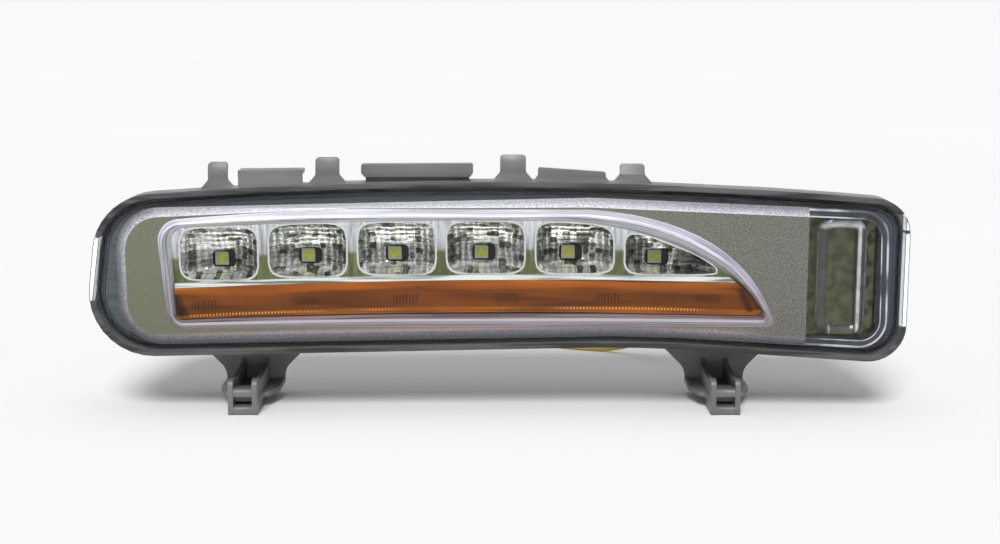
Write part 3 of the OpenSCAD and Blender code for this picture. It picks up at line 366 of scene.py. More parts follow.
def bevel_frost_finish():
    """Frosted edge of the lens, with painted light: brighter at the top, darker at the bottom, and darker
    from the face back to its edge.
    """
    made = Finish("lens_bevel", (0.62, 0.6, 0.68), 0.3, Specular_IOR_Level=0.6)
    speck = made.ramp(made.noise(2200, 2), (0.36, 0.55), (0.6, 1.3))
    # Painted light: the edge is lighter at the top and darker at the bottom
    level = made.ramp(
        made.span("Z", *EDGE_Z), (0.1, (0.14, 0.13, 0.15)), (0.6, (0.3, 0.3, 0.34)),
        (0.92, (0.38, 0.38, 0.44)))
    # Painted shade: darker from the face back to the edge
    painted_back_shade = made.ramp(made.span("Y", LENS_FACE, LENS_EDGE), (0.0, 1.5), (0.35, 1.0), (0.75, 0.5), (1.0, 0.42))
    made.to(made.times(level, speck, painted_back_shade), "Base Color")
    made.bump(made.noise(1500, 2), 0.3, 0.0002)
    made.set("Alpha", 0.85)
    return made.mat


def band_finish():
    """Sloped edge of the window: bright, slightly lavender, nearly opaque, with painted light: bright and
    dark lines along the slope, lighter at the top and darker at the bottom.
    """
    made = Finish("lens_window_band", (0.7, 0.66, 0.76), 0.22, Specular_IOR_Level=0.7)
    # Painted highlight and shade lines along the slope
    steps = made.ramp(
        made.span("Y", LENS_FACE, LENS_FRONT), (0.0, 1.35), (0.1, 1.0), (0.46, 0.92), (0.52, 0.55),
        (0.58, 1.25), (0.86, 1.15), (0.9, 1.5), (0.93, 0.3), (1.0, 0.35))
    speck = made.ramp(made.noise(2600, 2, stretch=(0.012, 1, 0.03)), (0.36, 0.7), (0.62, 1.15))
    # Painted light: lighter at the top, darker at the bottom
    level = made.ramp(
        made.span("Z", *EDGE_Z), (0.15, (0.29, 0.225, 0.255)), (0.6, (0.44, 0.42, 0.53)),
        (0.9, (0.6, 0.59, 0.68)))
    made.to(made.times(level, steps, speck), "Base Color")
    made.bump(made.noise(700, 2), 0.12, 0.0002)
    made.set("Alpha", 0.85)
    return made.mat


def ear_finish():
    """Clear ears at both ends: painted near white with a faint painted glow, for the light that comes
    through them.
    """
    made = Finish("lens_ear", (0.92, 0.93, 0.95), 0.15)
    # A faint painted glow, though the ears give no light
    made.set("Emission Color", (0.9, 0.93, 1.0, 1.0))
    made.set("Emission Strength", 0.12)
    made.bump(made.noise(400, 2), 0.1, 0.0002)
    return made.mat


def chrome_finish(name, colour, rough):
    """Vacuum metallised plastic: a soft mirror with a faint tint and orange peel."""
    made = Finish(name, colour, rough, 1.0)
    cloud = made.ramp(made.noise(35, 3), (0.3, shaded(colour, 0.82)), (0.7, shaded(colour, 1.1)))
    made.to(cloud, "Base Color")
    made.bump(made.noise(160, 2), 0.05, 0.0004)
    return made.mat


def flange_finish():
    """Edge of the bezel under the flat edge of the lens: slate grey at the left, navy towards the right."""
    made = Finish("bezel_edge", (0.1, 0.11, 0.13), 0.3, Specular_IOR_Level=0.4)
    tone = made.ramp(
        made.span("X", -HALF_RUN, HALF_RUN), (0.02, (0.085, 0.094, 0.108)), (0.2, (0.05, 0.058, 0.085)),
        (1.0, (0.042, 0.052, 0.082)))
    patch = made.ramp(made.noise(420, 3, stretch=(0.05, 1, 1)), (0.36, 0.78), (0.64, 1.22))
    made.to(made.times(tone, patch), "Base Color")
    made.bump(made.noise(700, 2), 0.1, 0.0001)
    return made.mat


def wall_finish(name, tone, metal):
    """Sloped wall of the window, in a tone that carries its painted light, with lines that follow it."""
    made = Finish(name, tone, 0.28, metal)
    streak = made.ramp(made.noise(1300, 2, stretch=(0.02, 1, 0.03)), (0.38, 0.5), (0.5, 1.0), (0.64, 1.25))
    made.to(made.times(tone, streak), "Base Color")
    made.bump(made.noise(500, 2, stretch=(0.3, 1, 1)), 0.1, 0.0003)
    return made.mat


def bar_finish():
    """Divider bar: bright with fine lines along it."""
    made = Finish("reflector_bar", (0.9, 0.9, 0.92), 0.15, 0.7)
    lines = made.ramp(
        made.noise(1100, 3, stretch=(0.03, 1, 1)), (0.36, (0.2, 0.2, 0.17)), (0.46, (0.62, 0.62, 0.6)),
        (0.58, (0.95, 0.95, 0.95)))
    made.to(lines, "Base Color")
    made.bump(made.noise(400, 2, stretch=(0.2, 1, 1)), 0.1, 0.0003)
    return made.mat


def cup_finish():
    """Metallised cups: a grid of small pillow facets with painted reflections: dark and olive cells between
    painted bright glints, a darker middle belt, a darker rightmost cup and dark lines along the grid.
    """
    made = Finish("reflector_metallised", (0.8, 0.8, 0.78), 0.13, 0.85)
    wavy_x = made.math("MULTIPLY_ADD", made.noise(190, 2), 0.0022, made.axis("X"))
    wavy_z = made.math("MULTIPLY_ADD", made.noise(170, 2, stretch=(1, 1.4, 1)), 0.0024, made.axis("Z"))
    ridge = made.math("SINE", made.math("MULTIPLY", wavy_x, 2 * math.pi / FACET_W))
    row = made.math("SINE", made.math("MULTIPLY", wavy_z, 2 * math.pi / FACET_H))
    facet = made.node("ShaderNodeTexVoronoi", Scale=1.0, Randomness=0.12)
    spot = made.node("ShaderNodeCombineXYZ")
    made.link(made.math("MULTIPLY", wavy_x, FACETS_ACROSS), spot.inputs["X"])
    made.link(made.math("MULTIPLY", wavy_z, FACETS_UP), spot.inputs["Z"])
    made.link(spot.outputs[0], facet.inputs["Vector"])
    pick = made.node("ShaderNodeSeparateXYZ")
    made.link(facet.outputs["Color"], pick.inputs[0])
    blur = made.math("MULTIPLY", made.noise(520, 3, stretch=(1, 0.2, 1.3)), 0.45)
    # Painted reflections: dark, olive and bright cells, the brightest as painted glints
    tone = made.ramp(
        made.math("MULTIPLY_ADD", pick.outputs["X"], 0.55, blur), (0.25, (0.1, 0.1, 0.075)),
        (0.36, (0.34, 0.34, 0.28)), (0.45, (0.8, 0.8, 0.78)), (0.56, (1.0, 0.99, 1.0)))
    level = made.span(made.over_bow(FOOT_H + 26 * MM), 0, 20 * MM)
    # Painted reflection: the middle belt darker than the top and bottom rows
    belt = made.ramp(level, (0.14, 1.0), (0.22, 0.5), (0.5, 0.45), (0.6, 1.0))
    made.to(made.ramp(level, (0.14, 0.68), (0.26, 0.85)), "Metallic")
    # Painted shade: the rightmost cup is darker
    rightmost_cup_painted_dark = made.ramp(made.span("X", 0, 100 * MM), (0.655, 1.0), (0.67, 0.3))
    # Painted shade along the lines of the facet grid
    painted_grid_shade = made.ramp(made.math("MAXIMUM", ridge, row), (0.84, 1.0), (0.99, 0.5))
    made.to(made.times(tone, belt, rightmost_cup_painted_dark, painted_grid_shade), "Base Color")
    pillow = made.math("MULTIPLY_ADD", ridge, 0.5, made.math("MULTIPLY_ADD", row, 0.5, 0.5))
    made.bump(pillow, 1.0, 0.0002)
    return made.mat


def panel_finish():
    """Metallised panel: pale behind the frosted face; in the end pocket dark olive with brown patches, the
    olive a painted reflection.
    """
    made = Finish("bezel_metallised", (0.13, 0.13, 0.085), 0.35, 0.8)
    place = made.span("X", 60 * MM, 160 * MM)
    patch = made.noise(260, 4, 0.6)
    # Painted reflection: the pocket is dark olive
    olive = made.ramp(patch, (0.4, (0.076, 0.075, 0.046)), (0.66, (0.112, 0.117, 0.068)))
    spots = made.ramp(patch, (0.44, 1.0), (0.5, 0.0))
    beside = made.ramp(place, (0.7, 0.35), (0.74, 1.0))
    pocket = made.mix(made.math("MULTIPLY", spots, beside), olive, (0.05, 0.03, 0.024))
    made.to(made.mix(made.ramp(place, (0.48, 1.0), (0.52, 0.0)), pocket, (0.6, 0.56, 0.63)), "Base Color")
    made.bump(made.noise(160, 2), 0.03, 0.0004)
    return made.mat


def land_finish():
    """Flat lands between the cups with a painted reflection: olive in their lower half, bright above."""
    made = Finish("reflector_land", (0.8, 0.8, 0.8), 0.12, 1.0)
    level = made.span(made.over_bow(FOOT_H + 26.5 * MM), 0, 20 * MM)
    # Painted reflection: olive below, bright above
    tone = made.ramp(
        level, (0.0, (0.18, 0.2, 0.09)), (0.4, (0.2, 0.22, 0.1)), (0.46, (0.52, 0.52, 0.57)),
        (1.0, (0.85, 0.84, 0.9)))
    streak = made.ramp(made.noise(700, 2, stretch=(1, 1, 0.12)), (0.35, 0.6), (0.62, 1.1))
    made.to(made.times(tone, streak), "Base Color")
    made.bump(made.noise(160, 2), 0.06, 0.0004)
    return made.mat


def amber_finish():
    """Amber strip: painted highlights along both edges, a darker middle with flutes painted lighter and
    darker across each flute, a row of painted glints on the flutes, darker LED zones.
    """
    colour = tuple(colours().amber)
    made = Finish("amber_fluted", colour, 0.25, Specular_IOR_Level=0.12)
    x = made.axis("X")
    level = made.over_bow(FOOT_H + 12.1 * MM)
    share = made.span(level, 0, 12 * MM)
    dim = shaded(colour, 0.5)
    # Painted highlight: the pale tone at both edges
    pale = (min(1, colour[0] * 1.25), colour[1] * 1.7, colour[2] * 6)
    tone = made.ramp(
        share, (0.0, pale), (0.05, colour), (0.14, shaded(colour, 0.8)), (0.22, dim), (0.6, dim),
        (0.74, shaded(colour, 0.78)), (0.94, colour), (1.0, pale))
    lines = made.math("SINE", made.math("MULTIPLY", x, 2 * math.pi / sizes().flute_pitch))
    wave = made.math("MULTIPLY_ADD", lines, 0.5, 0.5)
    middle = made.ramp(share, (0.24, 0.0), (0.3, 1.0), (0.6, 1.0), (0.68, 0.0))
    # Painted light: each flute lighter and darker across its width
    flutes = made.mix(middle, 1.0, made.ramp(wave, (0.0, 0.78), (1.0, 1.14)))
    # Ten whole pitches keep the distance positive
    along = made.math("SUBTRACT", x, AMBER_LED_FIRST - 10 * AMBER_LED_PITCH)
    off = made.math("PINGPONG", along, AMBER_LED_PITCH / 2)
    near = made.ramp(made.span(off, 0, 10 * MM), (0.42, 1.0), (0.55, 0.0))
    belt = made.ramp(share, (0.32, 0.0), (0.36, 1.0), (0.58, 1.0), (0.62, 0.0))
    bars = made.mix(made.math("MULTIPLY", near, belt), 1.0, made.ramp(wave, (0.45, 0.4), (0.6, 0.95)))
    # Painted glints in a row along the flutes
    row = made.ramp(share, (0.09, 0.0), (0.11, 1.0), (0.16, 1.0), (0.18, 0.0))
    painted_glints = made.math("MULTIPLY", row, made.ramp(wave, (0.45, 0.0), (0.7, 1.0)))
    patch = made.ramp(made.noise(420, 3, stretch=(0.06, 1, 1)), (0.36, 0.62), (0.62, 1.24))
    tone = made.times(tone, flutes, bars, patch)
    some = made.ramp(made.noise(28, 1, stretch=(1, 0.1, 0.1)), (0.42, 0.15), (0.56, 0.9))
    tone = made.mix(made.math("MULTIPLY", painted_glints, some), tone, (0.95, 0.45, 0.12))
    leaning = made.math("MULTIPLY_ADD", level, 0.45, x)
    ends = made.ramp(
        made.span(leaning, -HALF_RUN, HALF_RUN), (0.098, 1.0), (0.101, 0.2), (0.111, 0.25), (0.117, 1.0),
        (0.812, 1.0), (0.8145, 0.3), (0.8215, 0.3), (0.824, 1.0))
    low = made.ramp(share, (0.08, 0.0), (0.14, 1.0), (0.8, 1.0), (0.86, 0.0))
    made.to(made.times(tone, made.mix(low, 1.0, ends)), "Base Color")
    made.bump(wave, 0.25, 0.0002)
    return made.mat


def board_finish(name, colour):
    """Circuit board with a faint pattern of tracks under its mask."""
    made = Finish(name, colour, 0.5, Specular_IOR_Level=0.2)
    tracks = made.cells(260, stretch=(1, 1, 0.4))
    made.to(made.ramp(tracks, (0.1, shaded(colour, 0.7)), (0.3, shaded(colour, 1.3))), "Base Color")
    made.bump(made.noise(900, 2), 0.1, 0.0001)
    return made.mat


def metal_finish(name, colour, rough=0.3):
    """Plain metal with a brushed, uneven gloss."""
    made = Finish(name, colour, rough, 1.0)
    gloss = made.noise(500, 3, stretch=(1, 0.2, 1))
    made.to(made.ramp(gloss, (0.3, rough - 0.08), (0.7, rough + 0.12)), "Roughness")
    made.bump(made.noise(1400, 2), 0.08, 0.0001)
    return made.mat


def rubber_finish(name, colour, rough=0.6):
    """Dull rubber or soft plastic, with a dusty tone."""
    made = Finish(name, colour, rough, Specular_IOR_Level=0.35)
    dust = made.ramp(made.noise(260, 4), (0.3, shaded(colour, 0.75)), (0.7, shaded(colour, 1.35)))
    made.to(dust, "Base Color")
    made.bump(made.noise(1500, 3), 0.2, 0.0001)
    return made.mat


def phosphor_finish():
    """Yellow phosphor of an LED that is off."""
    made = Finish("led_phosphor", (0.4, 0.4, 0.03), 0.4, Coat_Weight=0.1)
    made.to(made.ramp(made.noise(700, 3), (0.3, (0.3, 0.31, 0.02)), (0.7, (0.46, 0.46, 0.05))), "Base Color")
    made.bump(made.noise(2200, 2), 0.2, 0.0001)
    return made.mat


def paint(node, material):
    """Gives a CAD node one finish in place of the plain one."""
    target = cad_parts[node]
    target.data.materials.clear()
    target.data.materials.append(material)


# Modelling


def only(target):
    """Deselects everything, then selects and activates one object."""
    if bpy.context.object and bpy.context.object.mode != "OBJECT":
        bpy.ops.object.mode_set(mode="OBJECT")
    bpy.ops.object.select_all(action="DESELECT")
    target.hide_set(False)
    target.select_set(True)
    bpy.context.view_layer.objects.active = target


def copy_of(node, name, *finishes):
    """A separate piece with the shape of a CAD node, its loose triangles merged into clean faces."""
    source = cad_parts[node]
    piece = bpy.data.objects.new(name, source.data.copy())
    bpy.context.scene.collection.objects.link(piece)
    piece.data.materials.clear()
    for finish in finishes:
        piece.data.materials.append(finish)
    only(piece)
    bpy.ops.mesh.customdata_custom_splitnormals_clear()
    bpy.ops.object.mode_set(mode="EDIT")
    bpy.ops.mesh.select_all(action="SELECT")
    bpy.ops.mesh.remove_doubles(threshold=1e-6)
    bpy.ops.mesh.dissolve_limited(angle_limit=math.radians(1))
    bpy.ops.object.mode_set(mode="OBJECT")
    return piece


def smoothed(piece, degrees):
    """Shades a piece smooth, apart from its edges that are sharper than an angle."""
    only(piece)
    bpy.ops.object.shade_smooth_by_angle(angle=math.radians(degrees))


def rounded(piece, width):
    """Rounds the sharp edges of a piece and shades the rest smooth."""
    only(piece)
    bevel = piece.modifiers.new("round", "BEVEL")
    bevel.width = width
    bevel.segments = 2
    bevel.limit_method = "ANGLE"
    bevel.angle_limit = math.radians(30)
    bevel.use_clamp_overlap = True
    bpy.ops.object.modifier_apply(modifier=bevel.name)
    smoothed(piece, 35)


def inside_window(c):
    """Whether a point lies in the region of the window, away from the rim and from the end pocket."""
    return WINDOW_X[0] < c.x < WINDOW_X[1] and WINDOW_Z[0] < c.z < WINDOW_Z[1]


def finish_piece(piece, slot, *nodes):
    """Puts a piece on the body of the lamp, in place of the CAD nodes that it stands for. Its slot is not
    used.
    """
    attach(piece, "root")
    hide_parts(*nodes)


def faces_where(piece, test, index):
    """Puts a material index on the faces whose centre and normal pass the test."""
    chosen = [face for face in piece.data.polygons if test(face.center, face.normal)]
    if not chosen:
        raise RuntimeError(f"{piece.name} has no face for its material {index}")
    for face in chosen:
        face.material_index = index


def outlined(piece, index, border, width):
    """Insets the front faces of one material, and gives the border another material."""
    only(piece)
    bpy.ops.object.mode_set(mode="EDIT")
    bpy.ops.mesh.select_mode(type="FACE")
    bpy.ops.mesh.select_all(action="DESELECT")
    bpy.ops.object.mode_set(mode="OBJECT")
    for face in piece.data.polygons:
        if face.material_index == index and face.normal.y < TO_FRONT:
            face.select = True
            face.material_index = border
    bpy.ops.object.mode_set(mode="EDIT")
    bpy.ops.mesh.inset(thickness=width, use_boundary=True, use_even_offset=True)
    bpy.ops.mesh.select_mode(type="VERT")
    bpy.ops.object.mode_set(mode="OBJECT")
    for face in piece.data.polygons:
        if face.select:
            face.material_index = index


# Camera and lead, lengths in millimetres

CAMERA_TARGET = Vector((0.55, 2.0, 50.55))
CAMERA_DISTANCE = 600
CAMERA_TILT = math.radians(10)
CAMERA_LENS = 57.07
CAMERA_SENSOR = 36

LEAD_ROUTE = [
    (96, 20.6, 46), (96, 28, 46), (96, 36, 45.8), (95.6, 44, 44.2), (94, 51.5, 40.8), (91.2, 57.5, 36),
    (87.4, 62, 30.4), (82.8, 65, 24.6), (77.6, 66.8, 19.2), (72, 68.4, 14.4), (66, 72.4, 10),
    (60, 77.6, 6.3), (54.2, 82.6, 3.5), (49.2, 86.4, 1.8), (44.8, 88.6, 1.1), (40.4, 89.9, 1),
    (36, 91.2, 1), (31.4, 93, 1), (26.2, 95.4, 1), (20.6, 98.2, 1), (15.4, 100.9, 1),
    (9.8, 103.6, 1.1), (4.4, 105, 1.3), (-0.2, 105.3, 1.5), (-4.4, 105.3, 1.5),
]
HANK = {"x": -25, "y": 111.6, "run": 34, "r": 6.3, "low": 1.5, "rise": 2.05, "turns": 2}
LEAD_TAIL = [
    (-8, 105.3, 5.6), (-26, 105.3, 5.6), (-45.6, 105.3, 5.6), (-49, 105.3, 5.2), (-53.6, 105.3, 3.8),
    (-58, 105.3, 3.4),
]
STEPS_BETWEEN = 3
STEPS_PER_TURN = 28


def hank_points():
    """Turns of the folded lead, rising a lead's thickness from turn to turn."""
    h = HANK
    corner = math.pi * h["r"]
    lap = 2 * h["run"] + 2 * corner
    left, right = h["x"] - h["run"] / 2, h["x"] + h["run"] / 2
    spots = []
    for i in range(h["turns"] * STEPS_PER_TURN + 1):
        gone = lap * i / STEPS_PER_TURN
        s = gone % lap
        if s < h["run"]:
            x, y = right - s, h["y"] - h["r"]
        elif s < h["run"] + corner:
            a = (s - h["run"]) / h["r"]
            x, y = left - h["r"] * math.sin(a), h["y"] - h["r"] * math.cos(a)
        elif s < 2 * h["run"] + corner:
            x, y = left + (s - h["run"] - corner), h["y"] + h["r"]
        else:
            a = (s - 2 * h["run"] - corner) / h["r"]
            x, y = right + h["r"] * math.sin(a), h["y"] + h["r"] * math.cos(a)
        spots.append(Vector((x, y, h["low"] + h["rise"] * gone / lap)))
    return spots


def softened(points):
    """The same route with more steps between its points, on one smooth curve."""
    made = []
    for i in range(len(points) - 1):
        a, b = Vector(points[max(i - 1, 0)]), Vector(points[i])
        c, d = Vector(points[i + 1]), Vector(points[min(i + 2, len(points) - 1)])
        for k in range(STEPS_BETWEEN):
            t = k / STEPS_BETWEEN
            square = (2 * a - 5 * b + 4 * c - d) * t * t
            cube = (3 * b - a - 3 * c + d) * t ** 3
            made.append(0.5 * (2 * b + (c - a) * t + square + cube))
    made.append(Vector(points[-1]))
    return made


def make_camera(scene):
    """The camera of the photograph."""
    away = Vector((0, -math.cos(CAMERA_TILT), math.sin(CAMERA_TILT)))
    target = CAMERA_TARGET * MM
    spot = target + CAMERA_DISTANCE * MM * away
    data = bpy.data.cameras.new("camera")
    data.sensor_width = CAMERA_SENSOR
    data.lens = CAMERA_LENS
    data.clip_start = 10 * MM
    camera = bpy.data.objects.new("camera", data)
    camera.location = spot
    camera.rotation_euler = (target - spot).to_track_quat("-Z", "Y").to_euler()
    scene.collection.objects.link(camera)
    scene.camera = camera


def make_lead(scene, line):
    """The round, free part of the lead along a line."""
    curve = bpy.data.curves.new("lead_yellow", "CURVE")
    curve.dimensions = "3D"
    spline = curve.splines.new("POLY")
    spline.points.add(len(line) - 1)
    for point, place in zip(spline.points, line):
        point.co = (*place, 1)
    curve.bevel_depth = sizes().lead_d / 2
    curve.bevel_resolution = 5
    curve.use_fill_caps = True
    curve.materials.append(moulded("lead_insulation", tuple(colours().lead), 0.38, patches=0.06))
    lead = bpy.data.objects.new("lead_yellow", curve)
    scene.collection.objects.link(lead)
    return lead


class LAMP_OT_lead(bpy.types.Operator):
    """Makes the camera and the free lead with its hank and connector"""

    bl_idname = "lamp.lead"
    bl_label = "Camera and lead"

    def execute(self, context):
        make_camera(context.scene)
        line = [p * MM for p in softened(LEAD_ROUTE) + hank_points() + softened(LEAD_TAIL)[1:]]
        lead = make_lead(context.scene, line)
        paint("wire_grommet", rubber_finish("grommet_rubber", (0.03, 0.03, 0.03)))
        paint("hank_tie", rubber_finish("tie_plastic", (0.03, 0.03, 0.032), 0.45))
        paint("connector", moulded("connector_plastic", (0.72, 0.72, 0.68)))
        paint("connector_pin", metal_finish("pin_brass", (0.72, 0.56, 0.26)))
        finish_piece(lead, "lead_yellow", "lead", "lead_hank", "lead_tail")
        return {"FINISHED"}


# The lamp


class LAMP_OT_housing(bpy.types.Operator):
    """Makes the grey housing with rounded edges, and the breather"""

    bl_idname = "lamp.housing"
    bl_label = "Housing"

    def execute(self, context):
        # Painted shade on the front faces of the housing: the same grey darkened, with strong pale and dark
        # streaks as painted highlight lines and shade
        rim = housing_finish("housing_rim_painted_shade", shade=0.46, shine=0.25, pale=1.5, dark=0.48)
        piece = copy_of("housing", "housing_shell", housing_finish(), rim)
        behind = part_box("housing")[0].y + 0.5 * MM
        low = FOOT_H - 8 * MM
        faces_where(piece, lambda c, n: n.y < TO_FRONT and c.y < behind and c.z > low, 1)
        rounded(piece, sizes().edge_round)
        finish_piece(piece, "housing_grey", "housing")
        paint("vent_cap", rubber_finish("vent_plastic", (0.04, 0.04, 0.042), 0.5))
        return {"FINISHED"}


class LAMP_OT_lens(bpy.types.Operator):
    """Makes the lens with its frosted face, bright window band and clear ends"""

    bl_idname = "lamp.lens"
    bl_label = "Lens"

    def execute(self, context):
        # The clear bevel gets painted highlight lines along its edges
        clear_bevel_finish = clear_finish(
            "lens_clear_bevel", haze=0.03, mirror=1.0, tint=(0.3, 0.34, 0.46), lines=bevel_painted_highlights)
        piece = copy_of(
            "lens", "lens_cover", clear_finish("lens_clear"), frost_finish(), bevel_frost_finish(),
            band_finish(), ear_finish(), clear_bevel_finish,
            moulded("lens_ear_edge", (0.05, 0.054, 0.06), 0.3))
        frost, bevel, band, ear, clear_bevel, ear_painted_edge = range(1, 7)
        end = sizes().frost_end
        right = Vector((1, 0, 0))
        only(piece)
        bpy.ops.object.mode_set(mode="EDIT")
        for place, normal in (((end, 0, 0), right), (EAR_LEFT, EAR_LEAN), ((EAR_RIGHT, 0, 0), right)):
            bpy.ops.mesh.select_all(action="SELECT")
            bpy.ops.mesh.bisect(plane_co=place, plane_no=normal)
        bpy.ops.object.mode_set(mode="OBJECT")

        def on_bevel(c, n):
            return LENS_FACE + 2 * NEAR < c.y < LENS_EDGE - 2 * NEAR and -0.99 < n.y < -0.3

        def on_band(c, n):
            return LENS_FRONT + NEAR < c.y < LENS_FACE - NEAR and -0.995 < n.y < -0.3

        faces_where(piece, lambda c, n: abs(c.y - LENS_FACE) < NEAR and n.y < TO_FRONT and c.x < end, frost)
        faces_where(piece, on_bevel, bevel)
        faces_where(piece, lambda c, n: on_bevel(c, n) and c.x > end, clear_bevel)
        faces_where(piece, on_band, band)
        faces_where(piece, lambda c, n: (c - EAR_LEFT).dot(EAR_LEAN) < 0 or c.x > EAR_RIGHT, ear)
        # The border of each ear gets a painted dark edge line: shade at the edge of the clear plastic
        outlined(piece, ear, ear_painted_edge, EAR_BORDER)
        finish_piece(piece, "lens_clear", "lens")
        smoothed(piece, 12)
        paint("seal_bead", moulded("sealant", (0.035, 0.042, 0.058), 0.35, patches=0.08, bump=0.05))
        return {"FINISHED"}


class LAMP_OT_optics(bpy.types.Operator):
    """Makes the metallised parts, the amber strip and the end ring"""

    bl_idname = "lamp.optics"
    bl_label = "Optics"

    def execute(self, context):
        bezel = copy_of(
            "bezel", "bezel_panel", panel_finish(), flange_finish(),
            # Painted light on the walls of the window: a pale copy of the metallised finish where they face
            # down or sideways, a dark mauve copy where they face up
            wall_finish("bezel_wall_high", (0.72, 0.71, 0.77), 0.3),
            wall_finish("bezel_wall_low", (0.3, 0.225, 0.25), 0.1))
        edge, wall_painted_pale, wall_painted_dark = range(1, 4)
        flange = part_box("bezel")[0].y + 2.0 * MM

        def on_wall(c, n):
            return c.y < Y_REFLECTOR - 2 * NEAR and n.y > TO_FRONT and inside_window(c)

        faces_where(bezel, lambda c, n: abs(c.y - flange) < 2 * NEAR and n.y < TO_FRONT, edge)
        # Painted light: the wall that faces up gets the dark copy, the others the pale one
        faces_where(bezel, lambda c, n: on_wall(c, n) and n.z <= 0.3, wall_painted_pale)
        faces_where(bezel, lambda c, n: on_wall(c, n) and n.z > 0.3, wall_painted_dark)
        rounded(bezel, 0.3 * MM)
        finish_piece(bezel, "metallised", "bezel")

        cups = copy_of(
            "reflector", "reflector_cups", cup_finish(), land_finish(), bar_finish(),
            chrome_finish("reflector_rim", (0.74, 0.74, 0.76), 0.2))
        land, bar, rim = range(1, 4)
        step = Y_REFLECTOR + 0.15 * MM
        faces_where(cups, lambda c, n: n.y < -0.98 and abs(c.y - Y_REFLECTOR) < NEAR, land)
        faces_where(cups, lambda c, n: c.y < Y_REFLECTOR - 0.2 * MM, bar)
        faces_where(cups, lambda c, n: n.y < -0.98 and abs(c.y - step) < NEAR, rim)
        smoothed(cups, 25)
        finish_piece(cups, "metallised_bright", "reflector")

        amber = copy_of("amber_lens", "amber_strip", amber_finish())
        smoothed(amber, 20)
        finish_piece(amber, "amber", "amber_lens")
        # The clear end ring gets painted highlights on its top and sides
        ring = clear_finish("optic_clear", haze=0.05, mirror=1.2, tint=(0.9, 0.92, 0.84), lines=ring_painted_highlights)
        paint("end_optic", ring)
        return {"FINISHED"}


class LAMP_OT_lights(bpy.types.Operator):
    """Dresses both rows of LEDs and their board"""

    bl_idname = "lamp.lights"
    bl_label = "LEDs"

    def execute(self, context):
        paint("led_board", board_finish("led_board_mask", (0.012, 0.013, 0.01)))
        body = moulded("led_body", (0.33, 0.34, 0.28), 0.4)
        phosphor = phosphor_finish()
        for i in range(1, 7):
            name = f"white_led_{i}"
            piece = copy_of(name, f"white_led_package_{i}", body, phosphor)
            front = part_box(name)[0].y
            faces_where(piece, lambda c, n: n.y < TO_FRONT and front + NEAR < c.y < front + 10 * NEAR, 1)
            finish_piece(piece, "led_white", name)
            paint(f"amber_led_{i}", moulded(f"amber_led_body_{i}", (0.55, 0.4, 0.1), 0.35))
        return {"FINISHED"}


class LAMP_OT_inside(bpy.types.Operator):
    """Dresses the driver, the wires and the screws inside"""

    bl_idname = "lamp.inside"
    bl_label = "Inside"

    def execute(self, context):
        paint("driver_board", board_finish("driver_board_mask", (0.03, 0.12, 0.05)))
        paint("driver_coil", rubber_finish("ferrite", (0.05, 0.05, 0.05), 0.5))
        paint("driver_capacitor", metal_finish("capacitor_can", (0.7, 0.71, 0.72), 0.25))
        paint("driver_chip", moulded("chip_body", (0.02, 0.02, 0.02), 0.4))
        paint("driver_terminal", moulded("terminal_body", (0.75, 0.75, 0.7), 0.4))
        paint("feed_wire", moulded("feed_insulation", tuple(colours().lead), 0.38, patches=0.06))
        paint("board_wires", rubber_finish("board_wire_insulation", (0.45, 0.03, 0.03), 0.4))
        paint("screw_seals", rubber_finish("seal_ring_rubber", (0.02, 0.02, 0.02)))
        steel = metal_finish("screw_steel", (0.62, 0.62, 0.62))
        paint("board_screws", steel)
        paint("bezel_screws", steel)
        return {"FINISHED"}


# Stage, lengths in metres

FLOOR_SIZE = 120
FLOOR_Y = 20.0
# Distance over which the painted shade darkens the floor
FLOOR_FADE = 40.0
WORLD_LIGHT = ((0.95, 0.97, 1.0, 1), 0.31)
WORLD_SEEN = ((0.985, 0.985, 0.985, 1), 1.0)
STUDIO_LAMPS = (
    {"name": "softbox_high", "turn": (45, -5, 0), "power": 2.55, "spread": 22},
    {"name": "softbox_top", "turn": (0, 0, 0), "power": 0.45, "spread": 60},
)


def floor_finish():
    """White paper, with a painted shade that makes it a little darker at a distance behind the lamp."""
    made = Finish("floor_white", (0.9, 0.9, 0.9), 0.8, Specular_IOR_Level=0.0)
    paper = made.ramp(made.noise(3, 2), (0.3, (0.93, 0.93, 0.93)), (0.7, (0.945, 0.945, 0.945)))
    # Painted shade: darker with distance behind the lamp
    painted_distance_shade = made.ramp(made.span("Y", 0, FLOOR_FADE), (0.05, 1.0), (0.3, 0.95), (0.8, 0.88))
    made.to(made.times(paper, painted_distance_shade), "Base Color")
    return made.mat


def largest(tree, a, b):
    """The larger one of two values of a node tree."""
    made = tree.nodes.new("ShaderNodeMath")
    made.operation = "MAXIMUM"
    tree.links.new(a, made.inputs[0])
    tree.links.new(b, made.inputs[1])
    return made.outputs[0]


def make_world(scene):
    """Even studio light, and a white background for the camera, for clear and for shiny pieces."""
    world = bpy.data.worlds.new("studio")
    scene.world = world
    world.use_nodes = True
    tree = world.node_tree
    light = tree.nodes["Background"]
    seen = tree.nodes.new("ShaderNodeBackground")
    for background, (colour, strength) in ((light, WORLD_LIGHT), (seen, WORLD_SEEN)):
        background.inputs["Color"].default_value = colour
        background.inputs["Strength"].default_value = strength
    path = tree.nodes.new("ShaderNodeLightPath")
    direct = largest(tree, path.outputs["Is Camera Ray"], path.outputs["Is Transmission Ray"])
    mix = tree.nodes.new("ShaderNodeMixShader")
    tree.links.new(largest(tree, direct, path.outputs["Is Glossy Ray"]), mix.inputs[0])
    tree.links.new(light.outputs[0], mix.inputs[1])
    tree.links.new(seen.outputs[0], mix.inputs[2])
    tree.links.new(mix.outputs[0], tree.nodes["World Output"].inputs["Surface"])


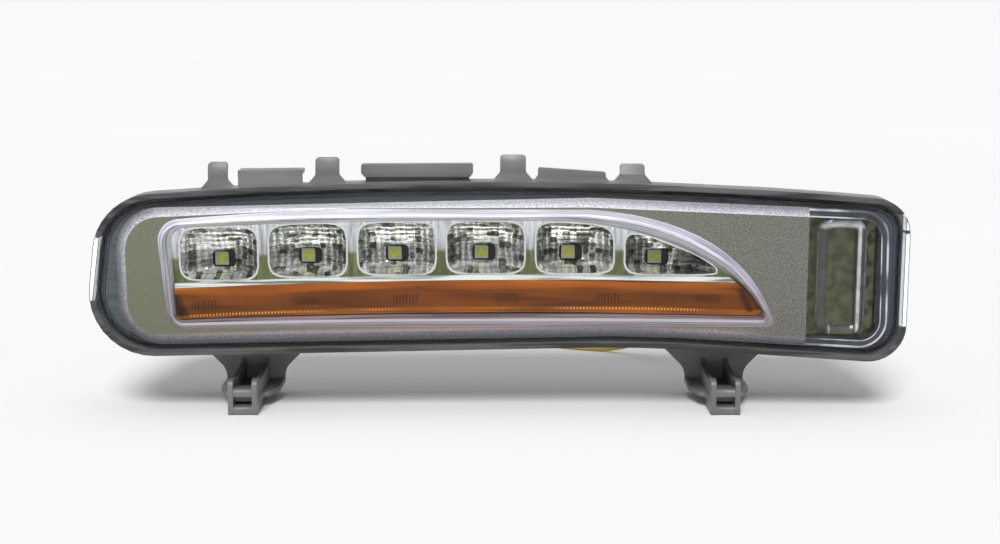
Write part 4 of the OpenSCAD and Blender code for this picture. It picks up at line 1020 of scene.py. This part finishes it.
class LAMP_OT_stage(bpy.types.Operator):
    """Makes the pale floor and the studio light"""

    bl_idname = "lamp.stage"
    bl_label = "Stage"

    def execute(self, context):
        context.scene.view_settings.view_transform = "Standard"
        for target in list(context.selected_objects):
            target.select_set(False)
        bpy.ops.mesh.primitive_plane_add(size=FLOOR_SIZE, location=(0, FLOOR_Y, 0))
        floor = context.object
        floor.name = "floor"
        floor.data.materials.append(floor_finish())
        make_world(context.scene)
        for setup in STUDIO_LAMPS:
            data = bpy.data.lights.new(setup["name"], "SUN")
            data.energy = setup["power"]
            data.angle = math.radians(setup["spread"])
            lamp = bpy.data.objects.new(setup["name"], data)
            lamp.rotation_euler = tuple(math.radians(a) for a in setup["turn"])
            lamp.location = (0, 0, 1.5)
            context.scene.collection.objects.link(lamp)
        return {"FINISHED"}


class LAMP_PT_panel(bpy.types.Panel):
    """Lists the sizes, the colours and the steps of the lamp"""

    bl_label = "Daytime running light"
    bl_idname = "LAMP_PT_panel"
    bl_space_type = "VIEW_3D"
    bl_region_type = "UI"
    bl_category = "Lamp"

    def draw(self, context):
        for group in (context.scene.lamp_sizes, context.scene.lamp_colours):
            for key in group.__annotations__:
                self.layout.prop(group, key)
        for step in STEPS:
            self.layout.operator(step.bl_idname)


STEPS = (
    LAMP_OT_lead, LAMP_OT_housing, LAMP_OT_lens, LAMP_OT_optics, LAMP_OT_lights, LAMP_OT_inside,
    LAMP_OT_stage,
)
CLASSES = (LampSizes, LampColours, *STEPS, LAMP_PT_panel)


def register():
    for cls in CLASSES:
        bpy.utils.register_class(cls)
    bpy.types.Scene.lamp_sizes = bpy.props.PointerProperty(type=LampSizes)
    bpy.types.Scene.lamp_colours = bpy.props.PointerProperty(type=LampColours)


def unregister():
    del bpy.types.Scene.lamp_colours
    del bpy.types.Scene.lamp_sizes
    for cls in reversed(CLASSES):
        bpy.utils.unregister_class(cls)


def main():
    register()
    for step in STEPS:
        group, name = step.bl_idname.split(".")
        getattr(getattr(bpy.ops, group), name)()


if __name__ == "__main__":
    main()
